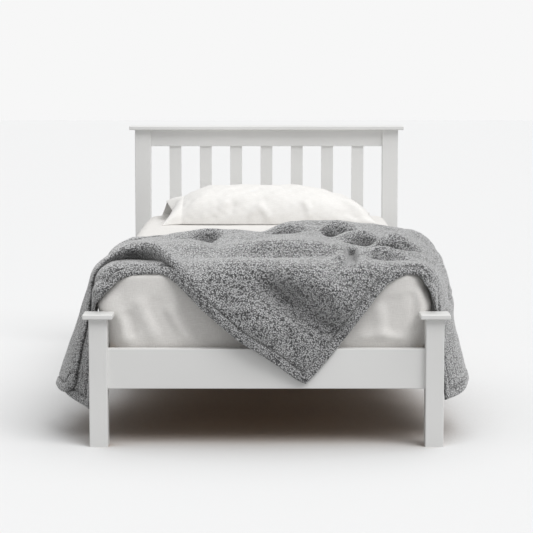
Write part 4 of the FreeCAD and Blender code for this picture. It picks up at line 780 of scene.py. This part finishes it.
# The mattress and its sheet, built as rings from underneath, up the sides and over the top to the middle
BED_MIDDLE = 0.00075
MATTRESS_HALF = (0.450, 0.950)
MATTRESS_LOW = 0.2622
MATTRESS_HIGH = 0.5002
CORNER_ROUND = 0.062
EDGE_ROUND = 0.044
UNDER_ROUND = EDGE_ROUND * 0.25
# How far the side stands out, at shares of its height
BULGE = ((0.0, 0.2, 0.5, 0.8, 1.0), (0.0, 0.0077, 0.014, 0.0098, 0.0042))


def ring(half_x, half_y, radius, count):
    """Points round a rectangle with round corners, evenly spaced, from the middle of its foot end"""
    radius = max(min(radius, half_x - 1e-4, half_y - 1e-4), 1e-4)
    inner = np.array((half_x - radius, half_y - radius))
    fine = []
    for corner, (sx, sy) in enumerate(((1, -1), (1, 1), (-1, 1), (-1, -1))):
        angles = np.radians(np.linspace(-90 + 90 * corner, 90 * corner, 24))
        fine.append(inner * (sx, sy) + radius * np.stack([np.cos(angles), np.sin(angles)], axis=-1))
    start = np.array([[0.0, -half_y]])
    line = np.concatenate([start, *fine, start])
    run = np.concatenate([[0.0], np.cumsum(np.linalg.norm(np.diff(line, axis=0), axis=1))])
    at = np.linspace(0.0, run[-1], count + 1)[:-1]
    return np.stack([np.interp(at, run, line[:, k]) for k in range(2)], axis=-1)


def bed_rings(grow, tuck, count=760):
    """A grid of rings over the mattress form, grown by a length, from under its edge to the top's middle"""
    half_x, half_y = MATTRESS_HALF
    low, high = MATTRESS_LOW, MATTRESS_HIGH
    levels = [(low - grow, -UNDER_ROUND - tuck * (1.0 - k / 7.0)) for k in range(7)]
    for angle in np.radians((0, 30, 60)):
        z = low + UNDER_ROUND * (1 - math.cos(angle)) - grow * math.cos(angle)
        levels.append((z, UNDER_ROUND * (math.sin(angle) - 1)))
    lower, upper = low + UNDER_ROUND, high - EDGE_ROUND
    for share in np.linspace(0.0, 1.0, 26):
        levels.append((lower + (upper - lower) * share, float(smooth_curve(*BULGE, np.array(share)))))
    crest = BULGE[1][-1]
    for angle in np.radians(np.linspace(9, 90, 10)):
        z = upper + (EDGE_ROUND + grow) * math.sin(angle)
        levels.append((z, crest + EDGE_ROUND * (math.cos(angle) - 1)))
    inmost = levels[-1][1]
    for share in np.linspace(0.0, 1.0, 40)[1:]:
        levels.append((high + grow, inmost - (half_x + inmost - 0.002) * share))
    rings = []
    for z, out in levels:
        reach = grow if z > low or out > -UNDER_ROUND else 0.0
        flat = ring(half_x + out + reach, half_y + min(out, 0.0) + reach, CORNER_ROUND + out + reach, count)
        rings.append(np.concatenate([flat + (0.0, BED_MIDDLE), np.full((count, 1), z)], axis=1))
    return np.array(rings)


def ring_faces(rows, columns, caps, flip=False):
    """Quads between rings that close on themselves, and a cap on each ring that caps names"""
    index = np.arange(rows * columns).reshape(rows, columns)
    right = np.roll(index, -1, axis=1)
    quads = np.stack([index[:-1], right[:-1], right[1:], index[1:]], axis=-1).reshape(-1, 4)
    ends = {"first": index[0, ::-1], "last": index[-1]}
    faces = [*quads, *(ends[cap] for cap in caps)]
    return [face[::-1] for face in faces] if flip else faces


def closed_normals(grid):
    """Outward normals of a grid of rings"""
    across = np.roll(grid, -1, axis=1) - np.roll(grid, 1, axis=1)
    upward = np.gradient(grid, axis=0)
    return unit(np.cross(across, upward))


def thicken(piece, thickness):
    """Gives a single layer its thickness inward and keeps the result as its mesh"""
    solidify = piece.modifiers.new("thickness", "SOLIDIFY")
    solidify.thickness = thickness
    solidify.offset = -1.0
    graph = bpy.context.evaluated_depsgraph_get()
    solid = bpy.data.meshes.new_from_object(piece.evaluated_get(graph))
    piece.modifiers.clear()
    piece.data = solid


# Soft creases of the sheet where it shows: line, half width and height, negative for a hollow
SHEET_CREASES = (
    (((-0.405, -0.955, 0.385), (-0.388, -0.955, 0.352), (-0.378, -0.955, 0.300)), 0.011, -0.0060),
    (((-0.425, -0.955, 0.395), (-0.408, -0.955, 0.350), (-0.398, -0.955, 0.280)), 0.016, 0.0060),
    (((-0.34, -0.955, 0.420), (-0.31, -0.955, 0.370), (-0.262, -0.955, 0.290)), 0.020, -0.0060),
    (((-0.375, -0.955, 0.430), (-0.345, -0.955, 0.370), (-0.31, -0.955, 0.285)), 0.022, 0.0050),
    (((-0.25, -0.955, 0.410), (-0.215, -0.955, 0.350), (-0.150, -0.955, 0.285)), 0.020, -0.0055),
    (((-0.285, -0.955, 0.410), (-0.255, -0.955, 0.350), (-0.205, -0.955, 0.285)), 0.020, 0.0050),
    (((0.405, -0.952, 0.440), (0.412, -0.952, 0.380), (0.418, -0.952, 0.310)), 0.014, -0.0080),
    (((0.432, -0.945, 0.455), (0.437, -0.945, 0.400), (0.438, -0.945, 0.330)), 0.014, 0.0060),
    (((0.350, -0.955, 0.430), (0.362, -0.955, 0.370), (0.366, -0.955, 0.300)), 0.022, -0.0050),
    (((0.315, -0.955, 0.410), (0.325, -0.955, 0.350), (0.330, -0.955, 0.290)), 0.022, 0.0040),
    (((0.24, -0.955, 0.305), (0.33, -0.955, 0.312), (0.42, -0.955, 0.300)), 0.014, 0.0040),
)
CREASE_STRENGTH = 1.6
# Thickness of the sheet and of the pillowcase
CLOTH_THICKNESS = 0.0012
# The sheet bulges at both foot corners, by more on the left, and is uneven all over its sides
CORNER_BULGE = (0.030, 0.017)
CORNER_PLACE = (-0.925, 0.400)
CORNER_SPREAD = 0.045
SHEET_UNEVEN = 0.0016
# The mattress cover's quilting: how close its diamonds are, and the depth and width of their seams
QUILT_PITCH = 24.0
QUILT_DEPTH = 0.0018
QUILT_SEAM = 0.25


def sheet_on_mattress():
    """The fitted linen sheet with its soft creases, open underneath"""
    grid = bed_rings(0.0019, 0.09)
    x, y, z = np.moveaxis(grid, -1, 0)
    lift = np.zeros(grid.shape[:2])
    for line, width, height in SHEET_CREASES:
        lift += CREASE_STRENGTH * height * stroke(grid, line, width)
    near_y = np.exp(-((y - CORNER_PLACE[0]) / CORNER_SPREAD) ** 2)
    near_z = np.exp(-((z - CORNER_PLACE[1]) / CORNER_SPREAD) ** 2)
    lift += ease(0.40, 0.45, np.abs(x)) * (near_y * near_z) * np.where(x < 0, *CORNER_BULGE)
    on_side = ease(MATTRESS_LOW, MATTRESS_LOW + 0.05, z)
    lift += on_side * (SHEET_UNEVEN * ripple(grid, 0.16, 11) + 0.0012)
    grid = grid + closed_normals(grid) * np.maximum(lift, -0.0012)[..., None]
    faces = ring_faces(*grid.shape[:2], caps=("last",))
    piece = make_piece("sheet_cloth", grid.reshape(-1, 3), faces, SHEET_LINEN)
    thicken(piece, CLOTH_THICKNESS)
    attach(piece, "mattress")
    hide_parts("fitted_sheet")


def quilted_mattress():
    """The mattress in its quilted cover, under the sheet"""
    grid = bed_rings(-0.0015, 0.44, 520)
    x, y = grid[..., 0], grid[..., 1]
    diamonds = np.sin(QUILT_PITCH * (x + y)) * np.sin(QUILT_PITCH * (x - y))
    seams = QUILT_DEPTH * np.exp(-((diamonds / QUILT_SEAM) ** 2))
    grid = grid - closed_normals(grid) * seams[..., None]
    faces = ring_faces(*grid.shape[:2], caps=("last", "first"))
    piece = make_piece("mattress_core", grid.reshape(-1, 3), faces, TICKING)
    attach(piece, "mattress")
    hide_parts("mattress")


# The pillow: height over the sheet and half depth along it, from the case's mouth to its closed end
PILLOW_REST = 0.5028
PILLOW_Y = 0.7035
PILLOW_RUN = (-0.305, -0.29, -0.26, -0.22, -0.15, 0.0, 0.12, 0.19, 0.25, 0.30, 0.345, 0.368, 0.380)
PILLOW_HIGH = (0.082, 0.092, 0.108, 0.121, 0.1265, 0.128, 0.126, 0.115, 0.097, 0.075, 0.046, 0.026, 0.014)
PILLOW_DEEP = (0.212, 0.214, 0.217, 0.219, 0.221, 0.222, 0.221, 0.221, 0.222, 0.224, 0.228, 0.232, 0.234)
# Wrinkles of the case on its front and top: line, half width and height
PILLOW_WRINKLES = (
    (((-0.19, 0.47, 0.525), (-0.17, 0.475, 0.56), (-0.13, 0.52, 0.60)), 0.014, -0.006),
    (((-0.155, 0.47, 0.515), (-0.135, 0.475, 0.55), (-0.10, 0.52, 0.59)), 0.016, 0.005),
    (((-0.07, 0.47, 0.515), (-0.05, 0.475, 0.545), (-0.01, 0.52, 0.58)), 0.014, -0.005),
    (((0.02, 0.47, 0.51), (0.00, 0.475, 0.545), (-0.03, 0.52, 0.58)), 0.014, -0.005),
    (((0.16, 0.47, 0.52), (0.15, 0.475, 0.56), (0.13, 0.53, 0.60)), 0.014, -0.006),
    (((0.37, 0.50, 0.52), (0.31, 0.53, 0.555), (0.25, 0.58, 0.585)), 0.016, -0.008),
    (((0.37, 0.56, 0.52), (0.32, 0.60, 0.56), (0.26, 0.66, 0.59)), 0.016, -0.007),
    (((0.36, 0.48, 0.515), (0.29, 0.50, 0.535), (0.21, 0.51, 0.545)), 0.014, 0.007),
    (((0.37, 0.90, 0.52), (0.30, 0.84, 0.56), (0.22, 0.78, 0.60)), 0.018, -0.006),
    (((-0.29, 0.50, 0.53), (-0.24, 0.54, 0.58), (-0.19, 0.60, 0.61)), 0.018, -0.006),
)
# Section of the pillow: its seam's height and share, and how full its sides, top and belly are
SEAM_HIGH = 0.007
SEAM_SHARE = 0.36
SIDE_FULL = 0.86
TOP_FULL = 0.74
BELLY_FULL = 0.62
BELLY_WIDE = 1.25
END_BEND = 0.010
PILLOW_SOFT = 0.0025
# The case's loose flange: its rows, its reach and what that loses above and gains behind, and its drop
FLANGE_ROWS = 26
FLANGE_REACH = 0.070
FLANGE_TOP_SHORTER = 0.030
FLANGE_REAR_LONGER = 0.024
FLANGE_DROP = 0.050
FLANGE_REAR_DROP = 0.018


def pillow_rings(grow, start, end, rows=150, columns=220):
    """Rings round the pillow at places along it, grown by a length"""
    x = start + (end - start) * np.linspace(0.0, 1.0, rows)
    high = smooth_curve(PILLOW_RUN, PILLOW_HIGH, x)[:, None] + grow
    deep = smooth_curve(PILLOW_RUN, PILLOW_DEEP, x)[:, None] + grow
    angle = np.linspace(0.0, 2.0 * math.pi, columns, endpoint=False)[None, :]
    seam = np.minimum(SEAM_SHARE * high, SEAM_HIGH)
    side, up = np.cos(angle), np.sin(angle)
    y = PILLOW_Y + deep * np.sign(side) * np.abs(side) ** SIDE_FULL
    crown = (high - seam) * np.abs(up) ** TOP_FULL
    belly = seam * np.minimum(BELLY_WIDE * np.abs(up) ** BELLY_FULL, 1.0)
    z = PILLOW_REST - grow + seam + np.where(up >= 0.0, crown, -belly)
    bend = END_BEND * np.cos((y - PILLOW_Y) / deep * math.pi) * ease(0.1, 0.38, x)[:, None]
    return np.stack([x[:, None] - bend + 0.0 * y, y, z], axis=-1)


def wrinkled(grid, strength):
    """Rings with the case's wrinkles and a soft unevenness, at a strength"""
    lift = np.zeros(grid.shape[:2])
    for line, width, height in PILLOW_WRINKLES:
        lift += height * strength * stroke(grid, line, width, 0.35)
    upper = ease(0.006, 0.03, grid[..., 2] - PILLOW_REST)
    lift += PILLOW_SOFT * strength * ripple(grid, 0.11, 21) * upper
    return grid - closed_normals(grid) * lift[..., None]


def pillow_filling():
    """The filled pillow inside its case"""
    core = wrinkled(pillow_rings(-0.004, -0.300, 0.372), 1.3)
    faces = ring_faces(*core.shape[:2], caps=("first", "last"), flip=True)
    filled = make_piece("pillow_core", core.reshape(-1, 3), faces, PILLOW_COTTON)
    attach(filled, "pillow")
    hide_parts("pillow")


def flange(mouth):
    """Loops of the loose flange, from its free edge to the case's mouth"""
    share = (mouth[:, 2] - PILLOW_REST) / (mouth[:, 2].max() - PILLOW_REST)
    front = ease(0.10, -0.10, (mouth[:, 1] - PILLOW_Y) / PILLOW_DEEP[0])
    reach = FLANGE_REACH - FLANGE_TOP_SHORTER * share + FLANGE_REAR_LONGER * (1.0 - front)
    drop = FLANGE_DROP * share * front + FLANGE_REAR_DROP * share * (1.0 - front)
    loops = []
    for k in np.linspace(1.0, 0.0, FLANGE_ROWS)[:-1]:
        loop = mouth.copy()
        loop[:, 0] -= k * reach
        loop[:, 2] -= k * k * drop
        loop[:, 1] -= k * (0.012 + 0.035 * (1.0 - share)) * front
        loop[:, 1] += 0.004 * k * np.sin(loop[:, 2] * 90.0)
        loop[:, 2] = np.maximum(loop[:, 2], PILLOW_REST)
        loops.append(loop)
    return loops


def pillow_case():
    """The linen case with its loose flange at the left end"""
    case = wrinkled(pillow_rings(0.0, -0.303, 0.380), 1.8)
    grid = np.concatenate([flange(case[0]), case])
    faces = ring_faces(*grid.shape[:2], caps=("last",), flip=True)
    cover = make_piece("pillowcase_cloth", grid.reshape(-1, 3), faces, CASE_LINEN)
    thicken(cover, CLOTH_THICKNESS)
    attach(cover, "pillow")
    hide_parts("pillowcase")


quilted_mattress()
sheet_on_mattress()
pillow_filling()
pillow_case()
throw()


# Studio: a wide floor, a world that the camera sees near white, and two broad suns
FLOOR_REACH = 30.0
WORLD_LOW = 0.32
WORLD_HIGH = 0.70
WORLD_SEEN = 0.93


def studio_floor():
    """A wide flat floor"""
    mesh = bpy.data.meshes.new("studio_floor")
    corners = [(x * FLOOR_REACH, y * FLOOR_REACH, 0) for x, y in ((-1, -1), (1, -1), (1, 1), (-1, 1))]
    mesh.from_pydata(corners, [], [(0, 1, 2, 3)])
    floor = bpy.data.objects.new("studio_floor", mesh)
    mesh.materials.append(floor_material())
    scene.collection.objects.link(floor)


def studio_world():
    """A world that is brighter above than below, and even where the camera sees it"""
    world = bpy.data.worlds.new("studio_world")
    world.use_nodes = True
    scene.world = world
    tree = world.node_tree
    ambient = tree.nodes["Background"]
    rays = tree.nodes.new("ShaderNodeLightPath")
    direction = tree.nodes.new("ShaderNodeTexCoord")
    split = tree.nodes.new("ShaderNodeSeparateXYZ")
    rise = tree.nodes.new("ShaderNodeMapRange")
    rise.inputs["To Min"].default_value = WORLD_LOW
    rise.inputs["To Max"].default_value = WORLD_HIGH
    seen = tree.nodes.new("ShaderNodeMix")
    seen.inputs["B"].default_value = WORLD_SEEN
    tree.links.new(direction.outputs["Generated"], split.inputs[0])
    tree.links.new(split.outputs["Z"], rise.inputs["Value"])
    tree.links.new(rise.outputs["Result"], seen.inputs["A"])
    tree.links.new(rays.outputs["Is Camera Ray"], seen.inputs["Factor"])
    tree.links.new(seen.outputs["Result"], ambient.inputs["Strength"])
    ambient.inputs["Color"].default_value = (1.0, 1.0, 1.0, 1.0)


def sun(name, toward, strength, angle):
    """A broad distant lamp that shines from one direction"""
    data = bpy.data.lights.new(name, "SUN")
    data.energy = strength
    data.angle = math.radians(angle)
    lamp = bpy.data.objects.new(name, data)
    lamp.rotation_euler = Vector(toward).to_track_quat("Z", "Y").to_euler()
    scene.collection.objects.link(lamp)


studio_floor()
studio_world()
sun("key", (0.44, -0.45, 0.78), 1.68, 40.0)
sun("over_the_bed", (0.10, 0.42, 0.90), 0.62, 50.0)
